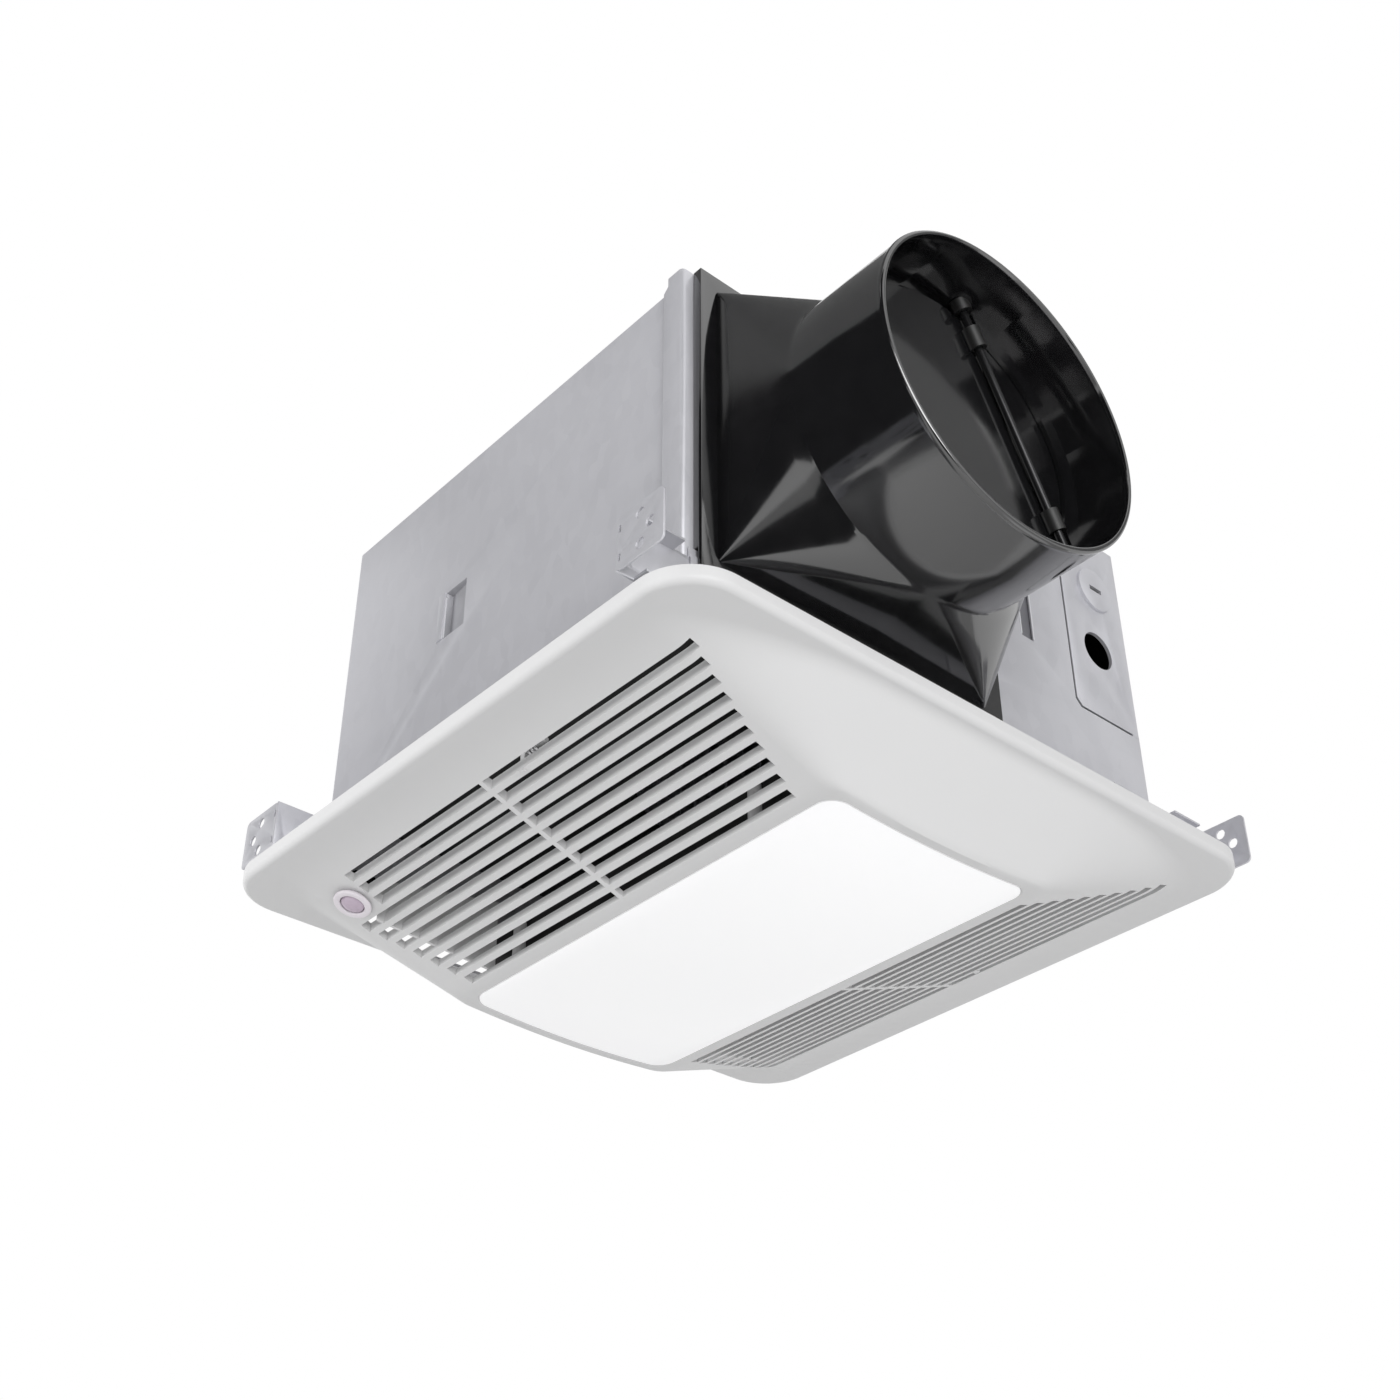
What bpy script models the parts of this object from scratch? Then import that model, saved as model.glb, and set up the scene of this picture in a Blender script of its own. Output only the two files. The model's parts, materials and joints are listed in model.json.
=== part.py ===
"""A ceiling exhaust fan with a light panel and a motion sensor, as separate pieces.

Metres, +Z up. The origin is the centre of the grille at the ceiling plane: the box stands above it,
the grille hangs below it. +X is the duct side, and the air leaves through the collar along +X.
"""

import math

import bmesh
import bpy
from mathutils import Matrix, Vector

# How the solids meet.
GAP = 0.0003
MERGE = 0.000003
OVERRUN = 0.004
SHEET = 0.001
BEND_RADIUS = 0.0022

# The galvanised box: outer faces of its walls, its open rim and its top.
DUCT_WALL_X = 0.13016
FAR_WALL_X = -0.12312
SIDE_WALL_Y = 0.14476
BOX_LOW_Z = 0.002
BOX_TOP_Z = 0.183
WINDOW_X = -0.030
WINDOW_WIDTH = 0.016
WINDOW_LOW_Z = 0.0835
WINDOW_HEIGHT = 0.0265
WINDOW_LIP = 0.0022
LEDGE_LENGTH = 0.022
LEDGE_DEPTH = 0.012

# The wall on the duct side, wrapped round the corner and standing above the box.
WRAP_LENGTH = 0.0122
UPSTAND_TOP_Z = 0.190
UPSTAND_SHOULDER_INSET = 0.00936
UPSTAND_SHOULDER_X = DUCT_WALL_X - UPSTAND_SHOULDER_INSET
UPSTAND_SHOULDER_Z = 0.1824
PORT_Y = -0.054
PORT_WIDTH = 0.144
PORT_LOW_Z = 0.034
PORT_TOP_Z = 0.1745
STRAP_TAB_Y = 0.067
STRAP_TAB_WIDTH = 0.008
STRAP_TAB_LOW_Z = 0.0945
STRAP_TAB_HEIGHT = 0.030
STRAP_TAB_PROUD = 0.003

# The corner cover over the wiring box, with its two knock-outs.
COVER_INSET = 0.04616
COVER_Y = SIDE_WALL_Y - COVER_INSET
COVER_LOW_Z = 0.0709
COVER_CHAMFER = 0.0035
COVER_SEAM = 0.0006
KNOCKOUT_INSET = 0.02326
KNOCKOUT_Y = SIDE_WALL_Y - KNOCKOUT_INSET
KNOCKOUT_Z = 0.1122
KNOCKOUT_RADIUS = 0.01025
BLANK_INSET = 0.02076
BLANK_Y = SIDE_WALL_Y - BLANK_INSET
BLANK_Z = 0.150
BLANK_RADIUS = 0.0123
BLANK_SLIT = 0.0008
BLANK_TIE = 0.004
BLANK_TURN = math.radians(60.0)
PRY_SLOT_LENGTH = 0.0087
PRY_SLOT_WIDTH = 0.0016
WIRING_BOX_DEPTH = 0.04016
WIRING_BOX_X = DUCT_WALL_X - WIRING_BOX_DEPTH
WIRING_BOX_TOP_Z = 0.172

# The moulded duct adapter: plate, foot, transition and collar.
COLLAR_Y = -0.0537
COLLAR_Z = 0.1062
COLLAR_RADIUS = 0.075
COLLAR_WALL = 0.0025
TRANSITION_LENGTH = 0.04484
COLLAR_LENGTH = 0.0529
COLLAR_START_X = DUCT_WALL_X + TRANSITION_LENGTH
COLLAR_END_X = COLLAR_START_X + COLLAR_LENGTH
COLLAR_LIP = 0.0009
FOOT_HALF_Y = 0.0775
FOOT_HALF_Z = 0.075
FOOT_CORNER = 0.002
FOOT_WALL = 0.003
PLATE_THICK = 0.0048
PLATE_NEAR_MARGIN = 0.0087
PLATE_FAR_MARGIN = 0.0116
PLATE_LOW_MARGIN = 0.0112
PLATE_TOP_MARGIN = 0.0088
PLATE_NEAR_Y = COLLAR_Y - FOOT_HALF_Y - PLATE_NEAR_MARGIN
PLATE_FAR_Y = COLLAR_Y + FOOT_HALF_Y + PLATE_FAR_MARGIN
PLATE_LOW_Z = COLLAR_Z - FOOT_HALF_Z - PLATE_LOW_MARGIN
PLATE_TOP_Z = COLLAR_Z + FOOT_HALF_Z + PLATE_TOP_MARGIN
PLATE_CORNER = 0.003
PLATE_SKIN = 0.0021

# The damper in the collar: a flap on a slanted pin away from the middle.
PIN_DEPTH = 0.026
PIN_X = COLLAR_START_X + PIN_DEPTH
PIN_RADIUS = 0.002
PIN_OFFSET_SHARE = 0.49333333
PIN_OFFSET = COLLAR_RADIUS * PIN_OFFSET_SHARE
PIN_DIRECTION_SHARES = (0.0, 0.437, -0.899)
FLAP_CLEAR = 0.0042
FLAP_RADIUS = COLLAR_RADIUS - COLLAR_WALL - FLAP_CLEAR
FLAP_THICK = 0.002
FLAP_FACE_DEPTH = 0.0025
FLAP_FACE_X = PIN_X - FLAP_FACE_DEPTH
KNUCKLE_RADIUS = 0.004
KNUCKLE_LENGTH = 0.010
KNUCKLE_IN = 0.0085
BOSS_RADIUS = 0.0045
BOSS_LENGTH = 0.003846
BOSS_START = math.sqrt((COLLAR_RADIUS - COLLAR_WALL) ** 2 - PIN_OFFSET**2) - BOSS_LENGTH
SEAT_DEPTH = 0.0085
SEAT_THICK = 0.0022
SEAT_CLEAR = 0.007
SEAL_WIDTH = 0.006
SEAL_THICK = 0.001

# The hanger bars with their punched ears and the guides that hold them.
BAR_HEIGHT = 0.0253
BAR_LENGTH = 0.168
DUCT_BAR_LOW_Z = 0.0044
FAR_BAR_LOW_Z = 0.0006
DUCT_EAR_REACH = 0.03364
FAR_EAR_REACH = 0.02624
DUCT_EAR_Y = SIDE_WALL_Y + DUCT_EAR_REACH
FAR_EAR_Y = SIDE_WALL_Y + FAR_EAR_REACH
EAR_WIDTH = 0.0274
EAR_CORNER = 0.0025
EAR_HOLE_RADIUS = 0.0026
EAR_HOLE_PAIR_IN = 0.0134
EAR_HOLE_PAIR_HALF = 0.0072
EAR_HOLE_EDGE_IN = 0.0076
EAR_RELIEF_HALF = 0.0068
EAR_RELIEF_LENGTH = 0.0035
EAR_RELIEF_WIDTH = 0.0014
BAR_FLANGE_DEPTH = 0.0085
BAR_FLANGE_BACK = 0.008
BAR_FLANGE_LENGTH = 0.019
BAR_HOLE_RADIUS = 0.0013
BAR_HOLE_BACK = 0.006
BAR_HOLE_LOW = 0.0055
GUIDE_INSET = 0.02676
GUIDE_START_Y = SIDE_WALL_Y - GUIDE_INSET
GUIDE_LENGTH = 0.025
GUIDE_SHEET = 0.0008
GUIDE_FOOT = 0.006

# The blower: the wheel's axis, its blades and the scroll round it.
WHEEL_X = 0.005
WHEEL_Y = 0.010
WHEEL_RADIUS = 0.070
WHEEL_LOW_Z = 0.044
WHEEL_TOP_Z = 0.150
WHEEL_SHEET = 0.0015
RING_HEIGHT = 0.003
RING_WIDTH = 0.010
BLADES = 40
BLADE_DEPTH = 0.014
BLADE_THICK = 0.0009
BLADE_INLET_ANGLE = math.radians(30.0)
BLADE_OUTLET_ANGLE = math.radians(58.0)
BLADE_STEPS = 3
CUP_RADIUS = 0.0475
CUP_FLOOR_Z = 0.105
HUB_RADIUS = 0.010
HUB_HEIGHT = 0.014
SHAFT_RADIUS = 0.004
SHAFT_LOW_Z = 0.084
SHAFT_TOP_Z = 0.138
NUT_RADIUS = 0.0075
NUT_HEIGHT = 0.006
NUT_SIDES = 6
SCROLL_TONGUE_RADIUS = 0.078
SCROLL_GROWTH = 0.060
SCROLL_STEPS = 27
SCROLL_TOP_Z = 0.1763
MOTOR_HOLE_RADIUS = 0.052
INLET_PLATE_Z = 0.030
INLET_RADIUS = 0.0575
INLET_FLARE = 0.0125
INLET_RISE = 0.0155
INLET_STEPS = 4
INLET_SCREW_X = 0.080

# The motor, its plate, its rubber mounts and its capacitor.
MOTOR_PLATE_RADIUS = 0.066
MOTOR_PLATE_THICK = 0.0012
MOTOR_PLATE_HOLE = 0.005
MOTOR_RADIUS = 0.044
MOTOR_LOW_Z = 0.118
MOTOR_TOP_Z = 0.171
MOTOR_CHAMFER = 0.006
GROMMET_RADIUS = 0.006
GROMMET_BORE = 0.0025
GROMMET_CIRCLE = 0.032
MOTOR_MOUNTS = 3
CAPACITOR_X = -0.084
CAPACITOR_LENGTH = 0.048
CAPACITOR_DEPTH = 0.019
CAPACITOR_HEIGHT = 0.032
CAPACITOR_LOW_Z = 0.118
TERMINAL_LENGTH = 0.008
TERMINAL_WIDTH = 0.0048
TERMINAL_THICK = 0.0008
TERMINAL_SPACING = 0.014

# The plug-in connections on the wiring box.
SOCKET_WIDTH = 0.022
SOCKET_HEIGHT = 0.014
SOCKET_DEPTH = 0.012
SOCKET_WALL = 0.002
BLOWER_SOCKET_Z = 0.150
LIGHT_SOCKET_Z = 0.092
SOCKET_INSET = 0.02276
SOCKET_Y = SIDE_WALL_Y - SOCKET_INSET
PLUG_LENGTH = 0.018
LEAD_RADIUS = 0.0016
LEAD_Z = 0.180
LEAD_BEND = 0.006

# The white grille: rim, bulge and the two banks of slots.
RIM_MARGIN_X = 0.03309
RIM_MARGIN_Y = 0.02831
RIM_HALF_X = DUCT_WALL_X + RIM_MARGIN_X
RIM_HALF_Y = SIDE_WALL_Y + RIM_MARGIN_Y
RIM_CORNER = 0.026
RIM_HEIGHT = 0.0075
RIM_ROUND = 0.003
BULGE_MARGIN_X = 0.00225
BULGE_MARGIN_Y = 0.00907
BULGE_HALF_X = RIM_HALF_X - BULGE_MARGIN_X
BULGE_HALF_Y = RIM_HALF_Y - BULGE_MARGIN_Y
CROWN_INSET_X = 0.035
CROWN_HALF_X = BULGE_HALF_X - CROWN_INSET_X
CROWN_Y_SHARE = 0.349569
CROWN_HALF_Y = RIM_HALF_Y * CROWN_Y_SHARE
CROWN_Z = -0.0396
CROWN_CORNER_X = 0.0012
CROWN_CORNER_Y = 0.0034
ARCH_SAG = 0.0028
GRILLE_WALL = 0.0024
CORNER_STEPS = 8
ARCH_STEPS = 8
SLOTS = 10
SLOT_INNER_MARGIN = 0.00915
SLOT_OUTER_MARGIN = 0.0225
SLOT_INNER_Y = CROWN_HALF_Y + SLOT_INNER_MARGIN
SLOT_OUTER_Y = BULGE_HALF_Y - SLOT_OUTER_MARGIN
SLOT_PITCH = (SLOT_OUTER_Y - SLOT_INNER_Y) / (SLOTS - 1)
SLOT_OPEN_SHARE = 0.6263
SLOT_WIDTH = SLOT_PITCH * SLOT_OPEN_SHARE
SLOT_INNER_INSET = 0.017
SLOT_OUTER_INSET = 0.028
SLOT_INNER_HALF = CROWN_HALF_X - SLOT_INNER_INSET
SLOT_OUTER_HALF = BULGE_HALF_X - SLOT_OUTER_INSET
SLOT_RIB = 0.0025
LOUVRE_DEPTH = 0.0047
LOUVRE_INNER_DEPTH = 0.0026
LOUVRE_MARGIN = 0.0025
SENSOR_SLOTS = 3

# The light: lens, tray, board and driver.
LENS_BORDER_X = 0.0051
LENS_BORDER_Y = 0.0016
LENS_HALF_X = CROWN_HALF_X - LENS_BORDER_X
LENS_HALF_Y = CROWN_HALF_Y - LENS_BORDER_Y
LENS_CORNER = 0.009
LENS_THICK = 0.0024
TRAY_FLANGE_Z = -0.0165
TRAY_INSET = 0.006
BOARD_THICK = 0.0016
BOARD_INSET = 0.004
LED_COLUMNS = 7
LED_ROWS = 3
DRIVER_LENGTH = 0.082
DRIVER_WIDTH = 0.038
DRIVER_HEIGHT = 0.020
TRAY_SCREW_SHARE = 0.6617
TRAY_SCREW_X = LENS_HALF_X * TRAY_SCREW_SHARE
TRAY_BOSS_RADIUS = 0.003

# The motion sensor in the corner of the grille.
SENSOR_INSET_X = 0.0469
SENSOR_INSET_Y = 0.032
SENSOR_X = SENSOR_INSET_X - BULGE_HALF_X
SENSOR_Y = SENSOR_INSET_Y - BULGE_HALF_Y
SENSOR_SLOT_CLEAR = 0.0106
SENSOR_SLOT_END = SENSOR_X + SENSOR_SLOT_CLEAR
BEZEL_RADIUS = 0.009
BEZEL_PROUD = 0.0013
BEZEL_NECK = 0.0072
BEZEL_WALL = 0.0012
SENSOR_DOME = 0.0016
SENSOR_MODULE_RADIUS = 0.0085
SENSOR_MODULE_HEIGHT = 0.009

# The torsion springs and the brackets that they hook in.
SPRING_X = 0.030
SPRING_WIRE = 0.0008
SPRING_COIL = 0.0042
SPRING_TURNS = 3
SPRING_STEPS = 10
SPRING_PITCH = 0.0022
SPRING_TOP_Z = 0.020
SPRING_SPREAD = 0.012
BRACKET_WIDTH = 0.040
BRACKET_REACH = 0.0115
BRACKET_Z = 0.0157
BRACKET_FOOT = 0.012
HOOK_POST_WIDTH = 0.003

# The fasteners.
SCREW_RADIUS = 0.0016
SCREW_HEAD = 0.0035
SCREW_HEAD_HEIGHT = 0.0018
SCREW_LENGTH = 0.0075
SCREW_BITE = 0.005

# How finely round forms are divided.
COLLAR_SIDES = 72
ROUND_SIDES = 32
WHEEL_SIDES = 40
SMALL_SIDES = 10
ARC_STEPS = 4
SHARP_ANGLE = math.radians(35.0)

# Colours from the photograph, with roughness and metallic values.
GALVANISED = ("galvanised", (0.52, 0.52, 0.56), 0.38, 0.9)
BRIGHT_STEEL = ("bright_steel", (0.62, 0.62, 0.64), 0.28, 1.0)
BLACK_PLASTIC = ("black_plastic", (0.012, 0.012, 0.013), 0.16, 0.0)
WHITE_PLASTIC = ("white_plastic", (0.80, 0.80, 0.80), 0.42, 0.0)
DIFFUSER = ("diffuser", (0.93, 0.93, 0.94), 0.30, 0.0)
SENSOR_GLASS = ("sensor_glass", (0.62, 0.58, 0.64), 0.12, 0.0)
BOARD_GREEN = ("board_green", (0.03, 0.16, 0.07), 0.45, 0.0)
BLACK_RUBBER = ("black_rubber", (0.02, 0.02, 0.02), 0.75, 0.0)
DARK_STEEL = ("dark_steel", (0.10, 0.10, 0.11), 0.45, 0.8)
GREY_PLASTIC = ("grey_plastic", (0.30, 0.30, 0.31), 0.50, 0.0)
GREEN_PAINT = ("green_paint", (0.02, 0.24, 0.07), 0.35, 0.4)

for old in list(bpy.data.objects):
    bpy.data.objects.remove(old, do_unlink=True)

PARTS = bpy.data.collections.new("bathroom_exhaust_fan")
CUTTERS = bpy.data.collections.new("cutters")
bpy.context.scene.collection.children.link(PARTS)
bpy.context.scene.collection.children.link(CUTTERS)
CUTTERS.hide_render = True

# Local axes of flat pieces: XY lies level, YZ faces +X, XZ faces -Y.
LEVEL = Matrix.Identity(3)
FACING_X = Matrix(((0, 0, 1), (1, 0, 0), (0, 1, 0)))
FACING_Y = Matrix(((1, 0, 0), (0, 0, -1), (0, 1, 0)))


def look(finish):
    """The material of this name, made once."""
    name, colour, roughness, metallic = finish
    found = bpy.data.materials.get(name)
    if found:
        return found
    made = bpy.data.materials.new(name)
    made.use_nodes = True
    shader = made.node_tree.nodes["Principled BSDF"]
    shader.inputs["Base Color"].default_value = (*colour, 1.0)
    shader.inputs["Roughness"].default_value = roughness
    shader.inputs["Metallic"].default_value = metallic
    made.diffuse_color = (*colour, 1.0)
    return made


def mesh_of(shape, name="shape"):
    """A mesh from a bmesh, with its faces turned outwards."""
    bmesh.ops.recalc_face_normals(shape, faces=shape.faces)
    mesh = bpy.data.meshes.new(name)
    shape.to_mesh(mesh)
    shape.free()
    return mesh


def moved(mesh, matrix):
    """The same mesh, placed by a matrix."""
    mesh.transform(matrix)
    if matrix.determinant() < 0:
        mesh.flip_normals()
    return mesh


def together(*meshes):
    """One mesh of several closed bodies that don't meet."""
    shape = bmesh.new()
    for mesh in meshes:
        shape.from_mesh(mesh)
    return mesh_of(shape)


def box(low, high):
    """A box between two opposite corners."""
    shape = bmesh.new()
    bmesh.ops.create_cube(shape, size=1)
    low, high = Vector(low), Vector(high)
    size = high - low
    bmesh.ops.scale(shape, vec=size, verts=shape.verts)
    bmesh.ops.translate(shape, vec=(low + high) / 2, verts=shape.verts)
    return mesh_of(shape)


def rod(start, end, radius, sides=SMALL_SIDES, end_radius=None):
    """A round bar, or a cone, from one point to another."""
    start, end = Vector(start), Vector(end)
    far = radius if end_radius is None else end_radius
    shape = bmesh.new()
    bmesh.ops.create_cone(
        shape, cap_ends=True, segments=sides, radius1=radius, radius2=far, depth=(end - start).length
    )
    turn = Vector((0, 0, 1)).rotation_difference(end - start).to_matrix().to_4x4()
    mesh = mesh_of(shape)
    return moved(mesh, Matrix.Translation((start + end) / 2) @ turn)


def placed(axes, at):
    """A matrix from local axes and a place."""
    return Matrix.Translation(Vector(at)) @ axes.to_4x4()


def sheet(outlines, thick, axes=LEVEL, at=(0, 0, 0)):
    """A flat piece from closed outlines, the inner ones being holes, its lower face on the local plane."""
    curve = bpy.data.curves.new("outline", "CURVE")
    curve.dimensions = "2D"
    curve.fill_mode = "BOTH"
    curve.extrude = thick / 2
    for outline in outlines:
        spline = curve.splines.new("POLY")
        spline.points.add(len(outline) - 1)
        for point, (u, v) in zip(spline.points, outline):
            point.co = (u, v, 0, 1)
        spline.use_cyclic_u = True
    flat = bpy.data.objects.new("outline", curve)
    CUTTERS.objects.link(flat)
    bpy.context.view_layer.update()
    graph = bpy.context.evaluated_depsgraph_get()
    mesh = bpy.data.meshes.new_from_object(flat.evaluated_get(graph))
    bpy.data.objects.remove(flat)
    shape = bmesh.new()
    shape.from_mesh(mesh)
    bmesh.ops.remove_doubles(shape, verts=shape.verts, dist=MERGE)
    mesh = mesh_of(shape)
    lift = Matrix.Translation((0, 0, thick / 2))
    return moved(mesh, placed(axes, at) @ lift)


def tube(points, radius, smoothness=2):
    """A round wire along a line of points, closed at its ends."""
    curve = bpy.data.curves.new("wire", "CURVE")
    curve.dimensions = "3D"
    curve.bevel_depth = radius
    curve.bevel_resolution = smoothness
    curve.use_fill_caps = True
    spline = curve.splines.new("POLY")
    spline.points.add(len(points) - 1)
    for point, place in zip(spline.points, points):
        point.co = (*place, 1)
    wire = bpy.data.objects.new("wire", curve)
    CUTTERS.objects.link(wire)
    bpy.context.view_layer.update()
    graph = bpy.context.evaluated_depsgraph_get()
    mesh = bpy.data.meshes.new_from_object(wire.evaluated_get(graph))
    bpy.data.objects.remove(wire)
    shape = bmesh.new()
    shape.from_mesh(mesh)
    bmesh.ops.remove_doubles(shape, verts=shape.verts, dist=MERGE)
    return mesh_of(shape)


def turned(profile, at, sides=ROUND_SIDES, axis=(0, 0, 1)):
    """A closed profile of (radius, height) points, turned about an axis through a place."""
    shape = bmesh.new()
    ring = [shape.verts.new((radius, 0, height)) for radius, height in profile]
    for first, second in zip(ring, ring[1:] + ring[:1]):
        if first.co.x > 0 or second.co.x > 0:
            shape.edges.new((first, second))
    line = bpy.data.meshes.new("profile")
    shape.to_mesh(line)
    shape.free()
    body = tool(line, "profile")
    spin = body.modifiers.new("turn", "SCREW")
    spin.axis = "Z"
    spin.angle = math.tau
    spin.steps = sides
    spin.render_steps = sides
    spin.use_merge_vertices = True
    spin.merge_threshold = MERGE
    bpy.context.view_layer.update()
    graph = bpy.context.evaluated_depsgraph_get()
    mesh = bpy.data.meshes.new_from_object(body.evaluated_get(graph))
    bpy.data.objects.remove(body)
    shape = bmesh.new()
    shape.from_mesh(mesh)
    bmesh.ops.remove_doubles(shape, verts=shape.verts, dist=MERGE)
    turn = Vector((0, 0, 1)).rotation_difference(Vector(axis)).to_matrix().to_4x4()
    return moved(mesh_of(shape), Matrix.Translation(Vector(at)) @ turn)


def lofted(rings, closed=False):
    """A skin over rings of matching points; closed joins the last ring to the first."""
    shape = bmesh.new()
    rows = [[shape.verts.new(point) for point in ring] for ring in rings]
    pairs = list(zip(rows, rows[1:]))
    if closed:
        pairs.append((rows[-1], rows[0]))
    for lower, upper in pairs:
        for i in range(len(lower)):
            j = (i + 1) % len(lower)
            shape.faces.new((lower[i], lower[j], upper[j], upper[i]))
    return shape


def circle(u, v, radius, sides=SMALL_SIDES):
    """Points of a circle in a flat outline."""
    return [
        (u + radius * math.cos(math.tau * i / sides), v + radius * math.sin(math.tau * i / sides))
        for i in range(sides)
    ]


def rounded(low_u, low_v, high_u, high_v, radius, steps=ARC_STEPS):
    """A rectangle with round corners, counter-clockwise."""
    points = []
    corners = (
        (high_u - radius, high_v - radius, 0),
        (low_u + radius, high_v - radius, 1),
        (low_u + radius, low_v + radius, 2),
        (high_u - radius, low_v + radius, 3),
    )
    for u, v, quarter in corners:
        for i in range(steps + 1):
            angle = math.pi / 2 * (quarter + i / steps)
            points.append((u + radius * math.cos(angle), v + radius * math.sin(angle)))
    return points


def tool(mesh, name="tool"):
    """A helper that cuts or joins, left out of the part."""
    made = bpy.data.objects.new(name, mesh)
    made.hide_render = True
    made.display_type = "WIRE"
    CUTTERS.objects.link(made)
    return made


def combined(mesh, joins=(), cuts=(), keep=None):
    """A mesh with others joined to it, then cut from it, then kept only inside one."""
    body = tool(mesh, "body")
    steps = [("UNION", other) for other in joins] + [("DIFFERENCE", other) for other in cuts]
    if keep:
        steps.append(("INTERSECT", keep))
    for operation, other in steps:
        step = body.modifiers.new(operation.lower(), "BOOLEAN")
        step.operation = operation
        step.solver = "EXACT"
        step.object = tool(other)
    bpy.context.view_layer.update()
    graph = bpy.context.evaluated_depsgraph_get()
    result = bpy.data.meshes.new_from_object(body.evaluated_get(graph))
    for step in list(body.modifiers):
        bpy.data.objects.remove(step.object)
    bpy.data.objects.remove(body)
    shape = bmesh.new()
    shape.from_mesh(result)
    bmesh.ops.remove_doubles(shape, verts=shape.verts, dist=MERGE)
    bmesh.ops.dissolve_degenerate(shape, edges=shape.edges, dist=MERGE)
    return mesh_of(shape)


def piece(name, mesh, finish, origin=(0, 0, 0), carrier=None, smooth=True):
    """A named sub-part with its own origin, carried by an empty or another piece."""
    origin = Vector(origin)
    moved(mesh, Matrix.Translation(-origin))
    mesh.name = name
    mesh.materials.clear()
    mesh.materials.append(look(finish))
    if smooth:
        mesh.shade_smooth()
        mesh.set_sharp_from_angle(angle=SHARP_ANGLE)
    made = bpy.data.objects.new(name, mesh)
    made.location = origin
    PARTS.objects.link(made)
    if carrier:
        made.parent = carrier
        made.matrix_parent_inverse = Matrix.Translation(-carrier.location)
    return made


def pivot(name, at):
    """An empty on a joint's axis."""
    made = bpy.data.objects.new(name, None)
    made.location = at
    made.empty_display_size = COLLAR_RADIUS
    PARTS.objects.link(made)
    return made


def screw(
    name, under_head, direction, carrier=None, length=SCREW_LENGTH, finish=BRIGHT_STEEL, head=SCREW_HEAD
):
    """A pan-head screw whose head rests with its gap on a face and whose shank runs along a direction."""
    direction = Vector(direction)
    under_head = Vector(under_head) - direction * GAP
    top = under_head - direction * SCREW_HEAD_HEIGHT
    start = under_head - direction * SCREW_HEAD_HEIGHT / 2
    shank = rod(start, under_head + direction * length, SCREW_RADIUS)
    dome = rod(under_head, top, head, SMALL_SIDES, head - SCREW_RADIUS / 2)
    return piece(name, combined(dome, joins=[shank]), finish, under_head, carrier)


def housing_shell():
    """Bent sheet: three walls and the top, open below and towards the duct."""
    end = DUCT_WALL_X - SHEET - GAP
    wide = DUCT_WALL_X + BEND_RADIUS + OVERRUN
    skin = rounded(FAR_WALL_X, -SIDE_WALL_Y, wide, SIDE_WALL_Y, BEND_RADIUS)
    hollow = rounded(
        FAR_WALL_X + SHEET, -SIDE_WALL_Y + SHEET, wide + OVERRUN, SIDE_WALL_Y - SHEET, BEND_RADIUS - SHEET
    )
    body = sheet([skin], BOX_TOP_Z - BOX_LOW_Z, LEVEL, (0, 0, BOX_LOW_Z))
    inside = sheet([hollow], BOX_TOP_Z - SHEET - BOX_LOW_Z + OVERRUN, LEVEL, (0, 0, BOX_LOW_Z - OVERRUN))
    open_end = box(
        (end, -SIDE_WALL_Y - OVERRUN, BOX_LOW_Z - OVERRUN),
        (wide + OVERRUN, SIDE_WALL_Y + OVERRUN, BOX_TOP_Z + OVERRUN),
    )
    inset = (BEND_RADIUS - SHEET) / 2
    corner = box(
        (end - inset, -SIDE_WALL_Y - OVERRUN, BOX_LOW_Z - OVERRUN),
        (end + OVERRUN, -SIDE_WALL_Y + inset, BOX_TOP_Z + OVERRUN),
    )
    left, right = WINDOW_X - WINDOW_WIDTH / 2, WINDOW_X + WINDOW_WIDTH / 2
    top = WINDOW_LOW_Z + WINDOW_HEIGHT
    window = box(
        (left, -SIDE_WALL_Y - OVERRUN, WINDOW_LOW_Z), (right, -SIDE_WALL_Y + SHEET + OVERRUN, top)
    )
    lip = box(
        (left - 2 * WINDOW_LIP, -SIDE_WALL_Y - SHEET, WINDOW_LOW_Z), (left, -SIDE_WALL_Y + SHEET / 2, top)
    )
    flap = box(
        (right - SHEET / 2, -SIDE_WALL_Y + SHEET / 2, WINDOW_LOW_Z + WINDOW_LIP),
        (right + SHEET / 2, -SIDE_WALL_Y + SHEET + LEDGE_DEPTH / 2, top - WINDOW_LIP),
    )
    ledges = []
    ledge_z = INLET_PLATE_Z + SHEET + GAP
    for x in (-INLET_SCREW_X, INLET_SCREW_X):
        for side in (-1, 1):
            wall = side * (SIDE_WALL_Y - SHEET / 2)
            tip = side * (SIDE_WALL_Y - SHEET - LEDGE_DEPTH)
            outline = rounded(
                x - LEDGE_LENGTH / 2, min(wall, tip), x + LEDGE_LENGTH / 2, max(wall, tip), BEND_RADIUS
            )
            hole = circle(x, side * inlet_screw_y(), SCREW_RADIUS + GAP)
            ledges.append(sheet([outline, hole], SHEET, LEVEL, (0, 0, ledge_z)))
    body = combined(body, cuts=[inside, open_end, corner, window])
    return piece("housing_shell", combined(body, joins=[together(lip, flap, *ledges)]), GALVANISED)


def inlet_screw_y():
    """The screws sit in the middle of the ledges."""
    return SIDE_WALL_Y - SHEET - LEDGE_DEPTH / 2


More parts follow.
